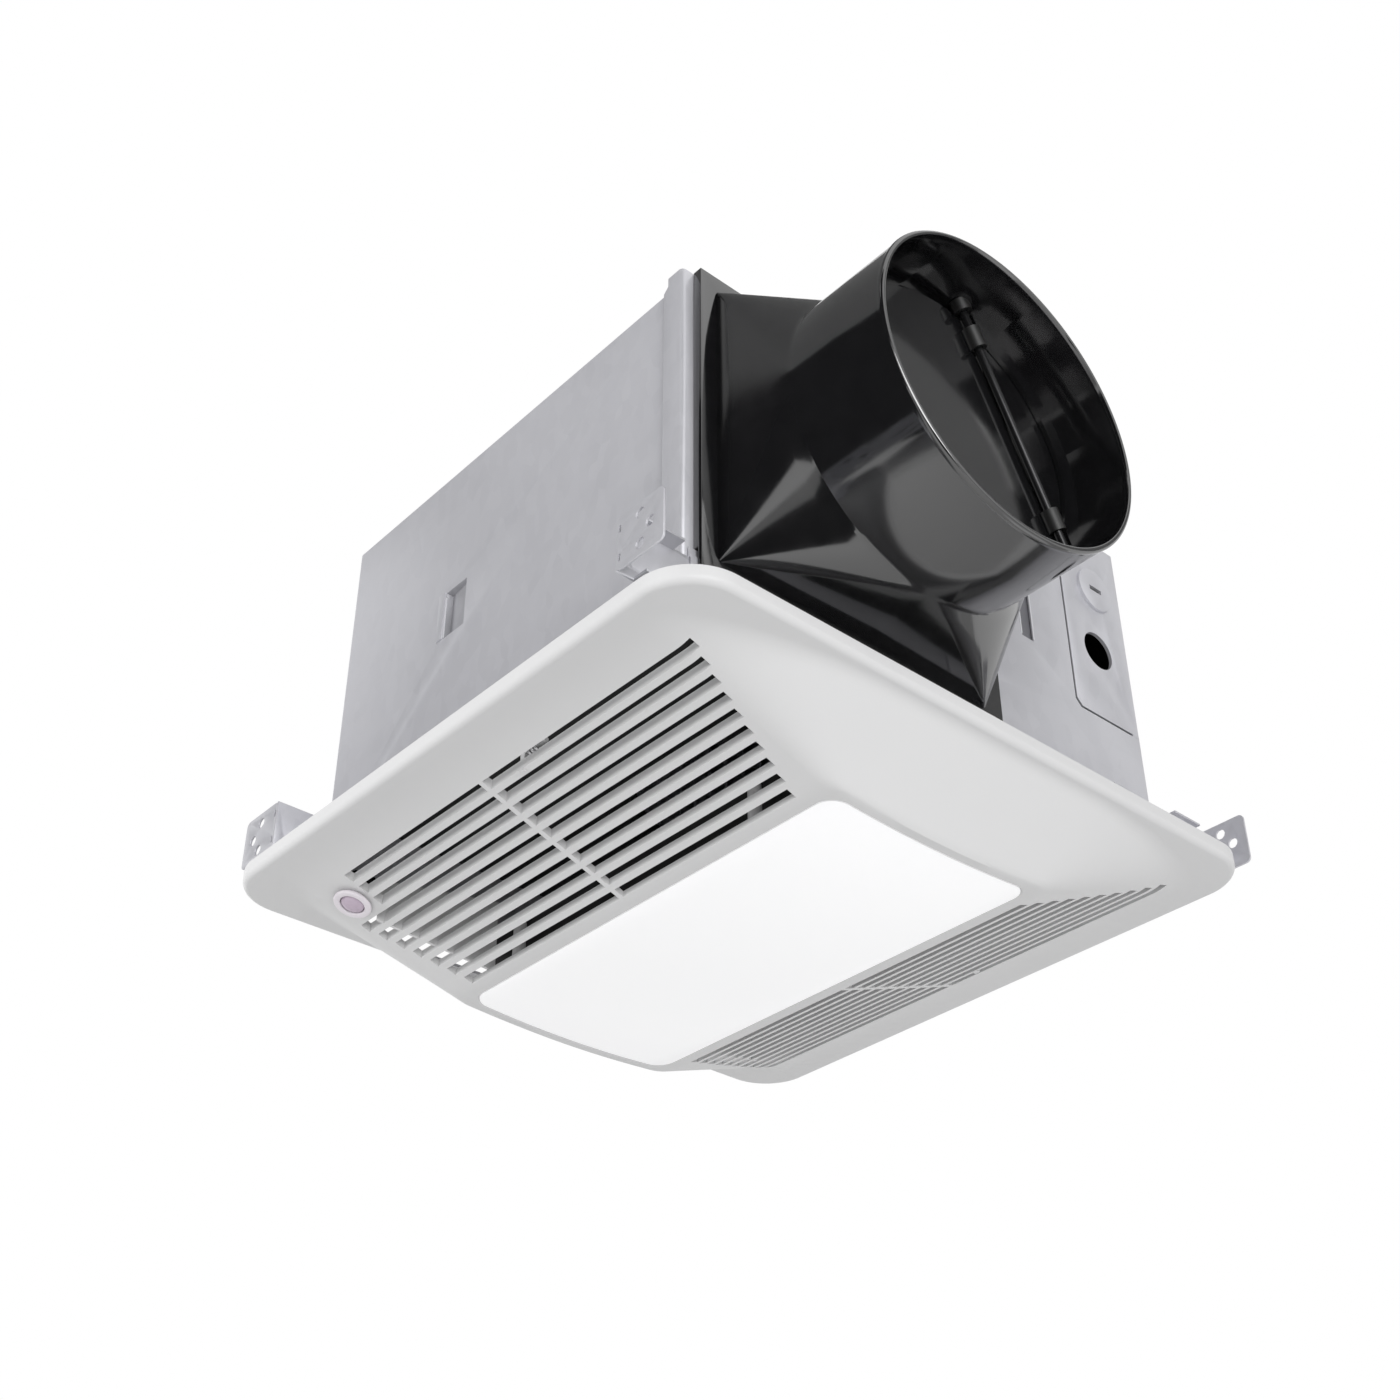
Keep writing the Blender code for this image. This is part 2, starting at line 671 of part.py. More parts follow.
def cover_outline(margin):
    """The corner cover's edge, grown by a margin on its two seams."""
    low_y, low_z = COVER_Y - margin, COVER_LOW_Z - margin
    far_y, top_z = SIDE_WALL_Y - GAP, BOX_TOP_Z
    if margin:
        far_y, top_z = far_y + OVERRUN, top_z + OVERRUN
    return [
        (low_y + COVER_CHAMFER, low_z),
        (far_y, low_z),
        (far_y, top_z),
        (low_y, top_z),
        (low_y, low_z + COVER_CHAMFER),
    ]


def adapter_screw_places():
    """Two screws on the far margin of the plate, hidden behind the collar."""
    y = (COLLAR_Y + FOOT_HALF_Y + PLATE_FAR_Y) / 2
    return [(y, COLLAR_Z - FOOT_HALF_Z * 2 / 3), (y, COLLAR_Z + FOOT_HALF_Z * 2 / 3)]


def duct_side_panel():
    """The galvanised wall that carries the adapter, with its wrap round the corner."""
    face, back = DUCT_WALL_X, DUCT_WALL_X - SHEET
    wrap_face, wrap_back = -SIDE_WALL_Y - GAP - SHEET, -SIDE_WALL_Y - GAP
    start = face - WRAP_LENGTH
    outer, inner = [], []
    for i in range(ARC_STEPS + 1):
        angle = math.pi / 2 * i / ARC_STEPS
        across, along = math.sin(angle), math.cos(angle)
        centre_x, centre_y = face - BEND_RADIUS, wrap_face + BEND_RADIUS
        outer.append((centre_x + BEND_RADIUS * across, centre_y - BEND_RADIUS * along))
        small = BEND_RADIUS - SHEET
        inner.append((centre_x + small * across, centre_y - small * along))
    far_y = SIDE_WALL_Y - GAP
    far_end = [(face, far_y), (back, far_y)]
    profile = [(start, wrap_face), *outer, *far_end, *reversed(inner), (start, wrap_back)]
    body = sheet([profile], UPSTAND_TOP_Z - BOX_LOW_Z, LEVEL, (0, 0, BOX_LOW_Z))
    near, far = back - OVERRUN, face + OVERRUN
    port = box(
        (near, PORT_Y - PORT_WIDTH / 2, PORT_LOW_Z), (far, PORT_Y + PORT_WIDTH / 2, PORT_TOP_Z)
    )
    above = box((near, PLATE_FAR_Y, BOX_TOP_Z), (far, far_y + OVERRUN, UPSTAND_TOP_Z + OVERRUN))
    notch = sheet([cover_outline(COVER_SEAM)], far - near, FACING_X, (near, 0, 0))
    drop = UPSTAND_SHOULDER_X - start
    shoulder = sheet(
        [
            [
                (start - OVERRUN, UPSTAND_SHOULDER_Z),
                (start, UPSTAND_SHOULDER_Z),
                (UPSTAND_SHOULDER_X, UPSTAND_SHOULDER_Z + drop),
                (UPSTAND_SHOULDER_X, UPSTAND_TOP_Z + OVERRUN),
                (start - OVERRUN, UPSTAND_TOP_Z + OVERRUN),
            ]
        ],
        SHEET + 2 * OVERRUN,
        FACING_Y,
        (0, wrap_back + OVERRUN, 0),
    )
    holes = [
        rod((near, y, z), (far, y, z), SCREW_RADIUS + GAP) for y, z in adapter_screw_places()
    ]
    half = STRAP_TAB_WIDTH / 2
    top = STRAP_TAB_LOW_Z + STRAP_TAB_HEIGHT
    slit = box(
        (near, STRAP_TAB_Y - half, STRAP_TAB_LOW_Z - SHEET), (far, STRAP_TAB_Y + half, top - SHEET)
    )
    strap = sheet(
        [rounded(STRAP_TAB_Y - half, STRAP_TAB_LOW_Z, STRAP_TAB_Y + half, top, BEND_RADIUS)],
        SHEET,
        FACING_X,
        (face + STRAP_TAB_PROUD - SHEET, 0, 0),
    )
    leg = box(
        (back + SHEET / 2, STRAP_TAB_Y - half, top - SHEET),
        (face + STRAP_TAB_PROUD - SHEET / 2, STRAP_TAB_Y + half, top),
    )
    leg = combined(leg, joins=[strap])
    body = combined(body, cuts=[port, above, notch, shoulder, together(*holes), slit])
    return piece("duct_side_panel", combined(body, joins=[leg]), GALVANISED)


def arc_slit(u, v, radius, width, start, end, steps=SMALL_SIDES):
    """A narrow slit along an arc."""
    outline = []
    for reach, turn in ((radius + width / 2, range(steps + 1)), (radius - width / 2, range(steps, -1, -1))):
        for i in turn:
            angle = start + (end - start) * i / steps
            outline.append((u + reach * math.cos(angle), v + reach * math.sin(angle)))
    return outline


def wiring_cover():
    """The flat corner cover with one knock-out open and one still closed."""
    tie = BLANK_TIE / BLANK_RADIUS / 2
    slits = [
        arc_slit(BLANK_Y, BLANK_Z, BLANK_RADIUS, BLANK_SLIT, start + tie, start + math.pi - tie)
        for start in (BLANK_TURN, BLANK_TURN + math.pi)
    ]
    pry = rounded(
        BLANK_Y - PRY_SLOT_LENGTH / 2,
        BLANK_Z - PRY_SLOT_WIDTH / 2,
        BLANK_Y + PRY_SLOT_LENGTH / 2,
        BLANK_Z + PRY_SLOT_WIDTH / 2,
        PRY_SLOT_WIDTH / 3,
        2,
    )
    hole = circle(KNOCKOUT_Y, KNOCKOUT_Z, KNOCKOUT_RADIUS, ROUND_SIDES)
    flat = sheet([cover_outline(0), hole, *slits, pry], SHEET, FACING_X, (DUCT_WALL_X - SHEET, 0, 0))
    return piece("wiring_cover", flat, GALVANISED)


def wiring_box():
    """A folded steel box behind the corner cover, open towards it."""
    back, mouth = WIRING_BOX_X, DUCT_WALL_X - SHEET - GAP
    low_y, high_y = COVER_Y + SHEET, SIDE_WALL_Y - SHEET - GAP
    low_z, high_z = COVER_LOW_Z + SHEET, WIRING_BOX_TOP_Z
    outer = box((back, low_y, low_z), (mouth, high_y, high_z))
    inner = box(
        (back + SHEET, low_y + SHEET, low_z + SHEET), (mouth + OVERRUN, high_y - SHEET, high_z - SHEET)
    )
    y, z = ground_screw_place()
    hole = rod((back - OVERRUN, y, z), (back + OVERRUN, y, z), SCREW_RADIUS + GAP)
    return piece("wiring_box", combined(outer, cuts=[inner, hole]), GALVANISED)


def ground_screw_place():
    """The green screw sits in the back of the wiring box, between the two sockets."""
    return SOCKET_Y, (BLOWER_SOCKET_Z + LIGHT_SOCKET_Z) / 2


def ground_screw():
    """The green earth screw inside the wiring box."""
    y, z = ground_screw_place()
    return screw("ground_screw", (WIRING_BOX_X + SHEET, y, z), (-1, 0, 0), finish=GREEN_PAINT)


def socket(name, z):
    """A plug-in socket on the back of the wiring box, open towards the blower."""
    back = WIRING_BOX_X - GAP
    half_y, half_z = SOCKET_WIDTH / 2, SOCKET_HEIGHT / 2
    outer = box((back - SOCKET_DEPTH, SOCKET_Y - half_y, z - half_z), (back, SOCKET_Y + half_y, z + half_z))
    hollow = box(
        (back - SOCKET_DEPTH - OVERRUN, SOCKET_Y - half_y + SOCKET_WALL, z - half_z + SOCKET_WALL),
        (back - SOCKET_WALL, SOCKET_Y + half_y - SOCKET_WALL, z + half_z - SOCKET_WALL),
    )
    return piece(name, combined(outer, cuts=[hollow]), WHITE_PLASTIC)


def blower_plug():
    """The motor's plug, pushed into its socket, with a stepped grip."""
    tip = WIRING_BOX_X - 2 * GAP - SOCKET_WALL
    half_y, half_z = SOCKET_WIDTH / 2 - SOCKET_WALL - GAP, SOCKET_HEIGHT / 2 - SOCKET_WALL - GAP
    nose = box(
        (tip - PLUG_LENGTH, SOCKET_Y - half_y, BLOWER_SOCKET_Z - half_z),
        (tip, SOCKET_Y + half_y, BLOWER_SOCKET_Z + half_z),
    )
    rim = WIRING_BOX_X - SOCKET_DEPTH - 2 * GAP
    grip = box(
        (tip - PLUG_LENGTH, SOCKET_Y - half_y - SOCKET_WALL, BLOWER_SOCKET_Z - half_z - SOCKET_WALL / 2),
        (rim, SOCKET_Y + half_y + SOCKET_WALL, BLOWER_SOCKET_Z + half_z + SOCKET_WALL / 2),
    )
    return piece("blower_plug", combined(grip, joins=[nose]), WHITE_PLASTIC)


def bent_route(corners, radius, steps=4):
    """A line with its corners rounded."""
    points = [Vector(corners[0])]
    for before, corner, after in zip(corners, corners[1:], corners[2:]):
        corner = Vector(corner)
        towards = (Vector(before) - corner).normalized() * radius
        onwards = (Vector(after) - corner).normalized() * radius
        for i in range(steps + 1):
            share = i / steps
            points.append(corner + towards * (1 - share) ** 2 + onwards * share**2)
    points.append(Vector(corners[-1]))
    return points


def motor_lead():
    """The lead from the plug, up and over the scroll and down through the motor plate."""
    start = WIRING_BOX_X - 3 * GAP - SOCKET_WALL - PLUG_LENGTH
    corners = [
        (start, SOCKET_Y, BLOWER_SOCKET_Z),
        (start - 2 * LEAD_BEND, SOCKET_Y, BLOWER_SOCKET_Z),
        (start - 2 * LEAD_BEND, SOCKET_Y, LEAD_Z),
        (WHEEL_X, WHEEL_Y, LEAD_Z),
        (WHEEL_X, WHEEL_Y, MOTOR_TOP_Z + GAP),
    ]
    return piece("motor_lead", tube(bent_route(corners, LEAD_BEND), LEAD_RADIUS), BLACK_RUBBER)


def collar_ring(x, radius):
    """Points round the collar's axis."""
    return [
        Vector(
            (
                x,
                COLLAR_Y + radius * math.cos(math.tau * i / COLLAR_SIDES),
                COLLAR_Z + radius * math.sin(math.tau * i / COLLAR_SIDES),
            )
        )
        for i in range(COLLAR_SIDES)
    ]


def foot_ring(x, half_y, half_z, corner):
    """The foot's rectangle, with a point in the middle of each side and the rest at its corners."""
    points = []
    quarter = COLLAR_SIDES // 4
    signs = ((1, 1), (-1, 1), (-1, -1), (1, -1))
    middles = ((1, 0), (0, 1), (-1, 0), (0, -1))
    for turn in range(4):
        middle_y, middle_z = middles[turn]
        points.append(Vector((x, COLLAR_Y + middle_y * half_y, COLLAR_Z + middle_z * half_z)))
        side_y, side_z = signs[turn]
        for i in range(1, quarter):
            angle = math.pi / 2 * (turn + (i - 1) / (quarter - 2))
            y = COLLAR_Y + side_y * (half_y - corner) + corner * math.cos(angle)
            z = COLLAR_Z + side_z * (half_z - corner) + corner * math.sin(angle)
            points.append(Vector((x, y, z)))
    return points


def pin_axis():
    """The damper pin's middle and its direction."""
    direction = Vector(PIN_DIRECTION_SHARES).normalized()
    away = Vector((0, -direction.z, direction.y))
    return Vector((PIN_X, COLLAR_Y, COLLAR_Z)) + away * PIN_OFFSET, direction, away


def pin_half_length():
    """From the pin's middle to just short of the bosses' blind ends."""
    wall = COLLAR_RADIUS - COLLAR_WALL / 2
    return math.sqrt(wall**2 - PIN_OFFSET**2) - SHEET - GAP


def half_space(offset, side):
    """A block on one side of a line parallel to the pin, in the collar."""
    direction, away = pin_axis()[1:]
    size = 2 * COLLAR_RADIUS
    axes = Matrix((direction, away, Vector((1, 0, 0)))).transposed()
    low = Vector((-size, 0, -size))
    block = box(low, (size, size, size))
    if side < 0:
        block = moved(block, Matrix.Diagonal((1, -1, 1, 1)))
    centre = Vector((PIN_X, COLLAR_Y, COLLAR_Z)) + away * offset
    return moved(block, placed(axes, centre))


def collar_disc(low_x, high_x, radius, inner=None):
    """A disc or a ring across the collar."""
    if inner is None:
        return rod((low_x, COLLAR_Y, COLLAR_Z), (high_x, COLLAR_Y, COLLAR_Z), radius, COLLAR_SIDES)
    profile = [(radius, high_x - low_x), (radius, 0), (inner, 0), (inner, high_x - low_x)]
    return turned(profile, (low_x, COLLAR_Y, COLLAR_Z), COLLAR_SIDES, (1, 0, 0))


def duct_adapter():
    """One moulding: plate, square foot, transition to round, collar, flap seats and pin bosses."""
    base = DUCT_WALL_X + GAP
    face = base + PLATE_THICK
    inner_foot = (FOOT_HALF_Y - FOOT_WALL, FOOT_HALF_Z - FOOT_WALL, FOOT_CORNER)
    plate = sheet(
        [
            rounded(PLATE_NEAR_Y, PLATE_LOW_Z, PLATE_FAR_Y, PLATE_TOP_Z, PLATE_CORNER),
            [(p.y, p.z) for p in foot_ring(0, *inner_foot)],
        ],
        PLATE_THICK,
        FACING_X,
        (base, 0, 0),
    )
    bore = COLLAR_RADIUS - COLLAR_WALL
    rings = [
        foot_ring(base + PLATE_THICK / 2, FOOT_HALF_Y, FOOT_HALF_Z, FOOT_CORNER),
        foot_ring(face + FOOT_CORNER, FOOT_HALF_Y, FOOT_HALF_Z, FOOT_CORNER),
        collar_ring(COLLAR_START_X, COLLAR_RADIUS - COLLAR_LIP / 2),
        collar_ring(COLLAR_START_X, COLLAR_RADIUS),
        collar_ring(COLLAR_END_X - 3 * COLLAR_LIP, COLLAR_RADIUS),
        collar_ring(COLLAR_END_X - 2 * COLLAR_LIP, COLLAR_RADIUS + COLLAR_LIP / 2),
        collar_ring(COLLAR_END_X, COLLAR_RADIUS - COLLAR_LIP / 2),
        collar_ring(COLLAR_END_X - COLLAR_LIP / 2, bore),
        collar_ring(COLLAR_START_X, bore),
        foot_ring(face + FOOT_CORNER, *inner_foot),
        foot_ring(base + PLATE_THICK / 2, *inner_foot),
    ]
    skin = mesh_of(lofted(rings, closed=True))
    middle, direction = pin_axis()[:2]
    wall = COLLAR_RADIUS - COLLAR_WALL / 2
    up_face = FLAP_FACE_X - FLAP_THICK - SEAL_THICK - 2 * GAP
    upstream = combined(
        collar_disc(up_face - SEAT_THICK, up_face, wall, bore - SEAT_DEPTH),
        cuts=[half_space(PIN_OFFSET - SEAT_CLEAR, 1)],
    )
    down_face = FLAP_FACE_X + GAP
    downstream = combined(
        collar_disc(down_face, down_face + SEAT_THICK, wall, bore - SEAT_DEPTH),
        cuts=[half_space(PIN_OFFSET + SEAT_CLEAR, -1)],
    )
    bosses = together(
        rod(middle + direction * BOSS_START, middle + direction * COLLAR_RADIUS, BOSS_RADIUS),
        rod(middle - direction * BOSS_START, middle - direction * COLLAR_RADIUS, BOSS_RADIUS),
    )
    bosses = combined(bosses, keep=collar_disc(PIN_X - COLLAR_WALL * 4, PIN_X + COLLAR_WALL * 4, wall))
    reach = pin_half_length() + GAP
    pin_bore = rod(middle - direction * reach, middle + direction * reach, PIN_RADIUS + GAP)
    screw_holes = together(
        *[
            rod((base - OVERRUN, y, z), (face + OVERRUN, y, z), SCREW_RADIUS + GAP)
            for y, z in adapter_screw_places()
        ]
    )
    relief_top = DUCT_BAR_LOW_Z + BAR_HEIGHT + GUIDE_FOOT
    relief = box(
        (base - OVERRUN, PLATE_NEAR_Y - OVERRUN, PLATE_LOW_Z - OVERRUN),
        (face - PLATE_SKIN, PLATE_FAR_Y + OVERRUN, relief_top),
    )
    body = combined(plate, joins=[skin])
    body = combined(body, joins=[upstream, downstream, bosses], cuts=[pin_bore, screw_holes, relief])
    return piece("duct_adapter", body, BLACK_PLASTIC)


def damper_pivot():
    """The empty on the pin's axis that carries the flap."""
    return pivot("damper_axis", pin_axis()[0])


def damper_flap(carrier):
    """The flat flap with two knuckles on the pin and a notch at each pin boss."""
    middle, direction = pin_axis()[:2]
    disc = collar_disc(FLAP_FACE_X - FLAP_THICK, FLAP_FACE_X, FLAP_RADIUS)
    notches, knuckles = [], []
    for side in (-1, 1):
        start = middle + direction * side * (BOSS_START - 3 * GAP)
        notches.append(rod(start, middle + direction * side * COLLAR_RADIUS, BOSS_RADIUS + 3 * GAP))
        tip = middle + direction * side * (BOSS_START - KNUCKLE_IN)
        knuckles.append(rod(tip, tip - direction * side * KNUCKLE_LENGTH, KNUCKLE_RADIUS))
    bore = rod(
        middle - direction * COLLAR_RADIUS, middle + direction * COLLAR_RADIUS, PIN_RADIUS + GAP
    )
    trimmed = combined(disc, cuts=notches)
    mesh = combined(trimmed, joins=[together(*knuckles)], cuts=[bore])
    return piece("damper_flap", mesh, BLACK_PLASTIC, middle, carrier)


def damper_pin():
    """The straight pin across the collar."""
    middle, direction = pin_axis()[:2]
    reach = pin_half_length()
    mesh = rod(middle - direction * reach, middle + direction * reach, PIN_RADIUS)
    return piece("damper_pin", mesh, BRIGHT_STEEL, middle)


def damper_seal(carrier):
    """A soft strip round the large part of the flap, on its upstream face."""
    middle = pin_axis()[0]
    face = FLAP_FACE_X - FLAP_THICK - GAP
    ring = collar_disc(face - SEAL_THICK, face, FLAP_RADIUS, FLAP_RADIUS - SEAL_WIDTH)
    mesh = combined(ring, cuts=[half_space(PIN_OFFSET - SEAT_CLEAR, 1)])
    return piece("damper_seal", mesh, BLACK_RUBBER, middle, carrier)


def adapter_screws():
    """The two screws on the plate's far margin."""
    face = DUCT_WALL_X + GAP + PLATE_THICK
    for name, (y, z) in zip(("adapter_screw_lower", "adapter_screw_upper"), adapter_screw_places()):
        screw(name, (face, y, z), (-1, 0, 0))


def bar_frame(duct_side, near_side):
    """Numbers that place a bar: wall face, outward sign, end sign, low edge and ear place."""
    if duct_side:
        face, out, low, ear = DUCT_WALL_X, 1, DUCT_BAR_LOW_Z, DUCT_EAR_Y
    else:
        face, out, low, ear = FAR_WALL_X, -1, FAR_BAR_LOW_Z, FAR_EAR_Y
    return face + out * GAP, out, -1 if near_side else 1, low, ear


def mirrored_box(face, out, end, low, high):
    """A box given outwards from a wall face and along an end direction."""
    xs = sorted((face + out * low[0], face + out * high[0]))
    ys = sorted((end * low[1], end * high[1]))
    return box((xs[0], ys[0], low[2]), (xs[1], ys[1], high[2]))


def hanger_bar(name, duct_side, near_side):
    """A flat bar with a punched ear turned outwards and two short stiffening flanges behind it."""
    face, out, end, low, ear = bar_frame(duct_side, near_side)
    top = low + BAR_HEIGHT
    web = mirrored_box(face, out, end, (0, ear - BAR_LENGTH, low), (SHEET, ear, top))
    flanges = []
    start = ear - BAR_FLANGE_BACK - BAR_FLANGE_LENGTH
    for z in (low, top - SHEET):
        flanges.append(
            mirrored_box(
                face, out, end, (SHEET / 2, start, z), (BAR_FLANGE_DEPTH, ear - BAR_FLANGE_BACK, z + SHEET)
            )
        )
    tip = face + out * EAR_WIDTH
    middle = (low + top) / 2
    outline = rounded(min(face, tip), low, max(face, tip), top, EAR_CORNER)
    holes = [
        circle(tip - out * EAR_HOLE_PAIR_IN, middle + EAR_HOLE_PAIR_HALF, EAR_HOLE_RADIUS),
        circle(tip - out * EAR_HOLE_PAIR_IN, middle - EAR_HOLE_PAIR_HALF, EAR_HOLE_RADIUS),
        circle(tip - out * EAR_HOLE_EDGE_IN, middle, EAR_HOLE_RADIUS),
    ]
    for side in (-1, 1):
        centre = middle + side * EAR_RELIEF_HALF
        holes.append(
            rounded(
                face + out * 2 * SHEET - EAR_RELIEF_WIDTH / 2,
                centre - EAR_RELIEF_LENGTH / 2,
                face + out * 2 * SHEET + EAR_RELIEF_WIDTH / 2,
                centre + EAR_RELIEF_LENGTH / 2,
                EAR_RELIEF_WIDTH / 3,
                2,
            )
        )
    ear_y = end * ear if end < 0 else end * ear - SHEET
    plate = sheet([outline, *holes], SHEET, FACING_Y, (0, ear_y + SHEET, 0))
    mark_y = end * (ear - BAR_HOLE_BACK)
    mark = rod(
        (face - out * OVERRUN, mark_y, low + BAR_HOLE_LOW),
        (face + out * OVERRUN, mark_y, low + BAR_HOLE_LOW),
        BAR_HOLE_RADIUS,
    )
    mesh = combined(web, joins=[together(*flanges), plate], cuts=[mark])
    return piece(name, mesh, GALVANISED, (face, end * ear, middle))


def bar_guide(name, duct_side, near_side):
    """A hat-shaped strap on the wall that a hanger bar slides in."""
    face, out, end, low = bar_frame(duct_side, near_side)[:4]
    top = low + BAR_HEIGHT
    clear = SHEET + GAP
    outer = clear + GUIDE_SHEET
    profile = [
        (0, low - GAP - GUIDE_SHEET),
        (outer, low - GAP - GUIDE_SHEET),
        (outer, top + GAP + GUIDE_SHEET),
        (GUIDE_SHEET, top + GAP + GUIDE_SHEET),
        (GUIDE_SHEET, top + GUIDE_FOOT - GAP),
        (0, top + GUIDE_FOOT - GAP),
        (0, top + GAP),
        (clear, top + GAP),
        (clear, low - GAP),
        (0, low - GAP),
    ]
    profile = [(face + out * x, z) for x, z in profile]
    start = GUIDE_START_Y if end > 0 else -GUIDE_START_Y - GUIDE_LENGTH
    mesh = sheet([profile], GUIDE_LENGTH, FACING_Y, (0, start + GUIDE_LENGTH, 0))
    return piece(name, mesh, GALVANISED)


def bar_sets():
    """Four bars, each with its guide."""
    for word, duct_side in (("duct", True), ("far", False)):
        for place, near_side in (("near", True), ("back", False)):
            hanger_bar(f"hanger_bar_{word}_{place}", duct_side, near_side)
            bar_guide(f"bar_guide_{word}_{place}", duct_side, near_side)


def inlet_plate():
    """The black plate under the blower with its bell mouth."""
    low_x, high_x = FAR_WALL_X + SHEET + GAP, DUCT_WALL_X - SHEET - GAP
    half_y = SIDE_WALL_Y - SHEET - GAP
    hole_radius = INLET_RADIUS + INLET_FLARE - SHEET / 2
    hole = circle(WHEEL_X, WHEEL_Y, hole_radius, ROUND_SIDES)
    screws = [circle(x, y, SCREW_RADIUS + GAP) for x, y in inlet_screw_places()]
    plate = sheet(
        [rounded(low_x, -half_y, high_x, half_y, BEND_RADIUS), hole, *screws],
        SHEET,
        LEVEL,
        (0, 0, INLET_PLATE_Z),
    )
    outer, inner = [], []
    for i in range(INLET_STEPS + 1):
        angle = math.pi / 2 * i / INLET_STEPS
        inward, rise = 1 - math.sin(angle), 1 - math.cos(angle)
        outer.append((INLET_RADIUS + SHEET + INLET_FLARE * inward, SHEET + (INLET_RISE - SHEET) * rise))
        inner.append((INLET_RADIUS + INLET_FLARE * inward, INLET_RISE * rise))
    bell = turned([*outer, *reversed(inner)], (WHEEL_X, WHEEL_Y, INLET_PLATE_Z))
    return piece("inlet_plate", combined(plate, joins=[bell]), DARK_STEEL)


def inlet_screw_places():
    """Under the four ledges."""
    return [(x, side * inlet_screw_y()) for x in (-INLET_SCREW_X, INLET_SCREW_X) for side in (-1, 1)]


def inlet_screws():
    """Four screws up through the inlet plate into the ledges."""
    names = ("inlet_screw_1", "inlet_screw_2", "inlet_screw_3", "inlet_screw_4")
    for name, (x, y) in zip(names, inlet_screw_places()):
        screw(name, (x, y, INLET_PLATE_Z), (0, 0, 1), length=SCREW_BITE)


def scroll_outline(grow):
    """The spiral from the tongue round to the outlet, grown outwards by a sheet's thickness."""
    points = []
    for i in range(SCROLL_STEPS + 1):
        share = i / SCROLL_STEPS
        angle = share * math.pi * 3 / 2
        radius = SCROLL_TONGUE_RADIUS + SCROLL_GROWTH * share + grow
        points.append((WHEEL_X + radius * math.cos(angle), WHEEL_Y + radius * math.sin(angle)))
    end = DUCT_WALL_X - SHEET - GAP
    if not grow:
        end += OVERRUN
    floor_y = points[-1][1]
    tongue = points[0]
    lip_y = PORT_Y + PORT_WIDTH / 2 + grow
    slope = (lip_y - tongue[1]) / (DUCT_WALL_X - tongue[0])
    points.append((end, floor_y))
    points.append((end, tongue[1] + slope * (end - tongue[0])))
    return points


def scroll_casing():
    """The spiral casing with its outlet, open below over the inlet plate."""
    low, top = INLET_PLATE_Z + SHEET + GAP, SCROLL_TOP_Z
    body = sheet([scroll_outline(SHEET)], top - low, LEVEL, (0, 0, low))
    inside = sheet([scroll_outline(0)], top - SHEET - low + OVERRUN, LEVEL, (0, 0, low - OVERRUN))
    hole = rod(
        (WHEEL_X, WHEEL_Y, top - OVERRUN), (WHEEL_X, WHEEL_Y, top + OVERRUN), MOTOR_HOLE_RADIUS, ROUND_SIDES
    )
    screws = [
        rod((x, y, top - OVERRUN), (x, y, top + OVERRUN), SCREW_RADIUS + GAP)
        for x, y in motor_screw_places()
    ]
    return piece("scroll_casing", combined(body, cuts=[inside, hole, together(*screws)]), GALVANISED)


def motor_screw_places():
    """Four screws between the hole's edge and the plate's edge."""
    radius = (MOTOR_HOLE_RADIUS + MOTOR_PLATE_RADIUS) / 2
    places = []
    for i in range(4):
        angle = math.pi / 4 + math.pi / 2 * i
        places.append((WHEEL_X + radius * math.cos(angle), WHEEL_Y + radius * math.sin(angle)))
    return places


def grommet_places():
    """The rubber mounts round the motor's axis."""
    places = []
    for i in range(MOTOR_MOUNTS):
        angle = math.tau * (i + 1 / 2) / MOTOR_MOUNTS
        x, y = GROMMET_CIRCLE * math.cos(angle), GROMMET_CIRCLE * math.sin(angle)
        places.append((WHEEL_X + x, WHEEL_Y + y))
    return places


def motor_plate():
    """The round plate on the scroll that the motor hangs from."""
    outline = circle(WHEEL_X, WHEEL_Y, MOTOR_PLATE_RADIUS, ROUND_SIDES)
    holes = [circle(WHEEL_X, WHEEL_Y, MOTOR_PLATE_HOLE)]
    holes += [circle(x, y, SCREW_RADIUS + GAP) for x, y in motor_screw_places()]
    flat = sheet([outline, *holes], MOTOR_PLATE_THICK, LEVEL, (0, 0, SCROLL_TOP_Z + GAP))
    return piece("motor_plate", flat, GALVANISED)


def motor_can():
    """The motor's closed can with chamfered ends and a bore for the shaft."""
    height = MOTOR_TOP_Z - MOTOR_LOW_Z
    profile = [
        (0, height),
        (MOTOR_RADIUS - MOTOR_CHAMFER, height),
        (MOTOR_RADIUS, height - MOTOR_CHAMFER),
        (MOTOR_RADIUS, MOTOR_CHAMFER),
        (MOTOR_RADIUS - MOTOR_CHAMFER, 0),
        (0, 0),
    ]
    body = turned(profile, (WHEEL_X, WHEEL_Y, MOTOR_LOW_Z))
    bore = rod(
        (WHEEL_X, WHEEL_Y, MOTOR_LOW_Z - OVERRUN), (WHEEL_X, WHEEL_Y, SHAFT_TOP_Z + GAP), SHAFT_RADIUS + GAP
    )
    return piece("motor_can", combined(body, cuts=[bore]), DARK_STEEL)


def grommets():
    """Rubber rings between the motor and its plate."""
    names = ("motor_grommet_1", "motor_grommet_2", "motor_grommet_3")
    height = SCROLL_TOP_Z - MOTOR_TOP_Z - GAP
    profile = [
        (GROMMET_RADIUS, height),
        (GROMMET_RADIUS * 4 / 5, height / 2),
        (GROMMET_RADIUS, 0),
        (GROMMET_BORE, 0),
        (GROMMET_BORE, height),
    ]
    for name, (x, y) in zip(names, grommet_places()):
        piece(name, turned(profile, (x, y, MOTOR_TOP_Z + GAP), SMALL_SIDES), BLACK_RUBBER)


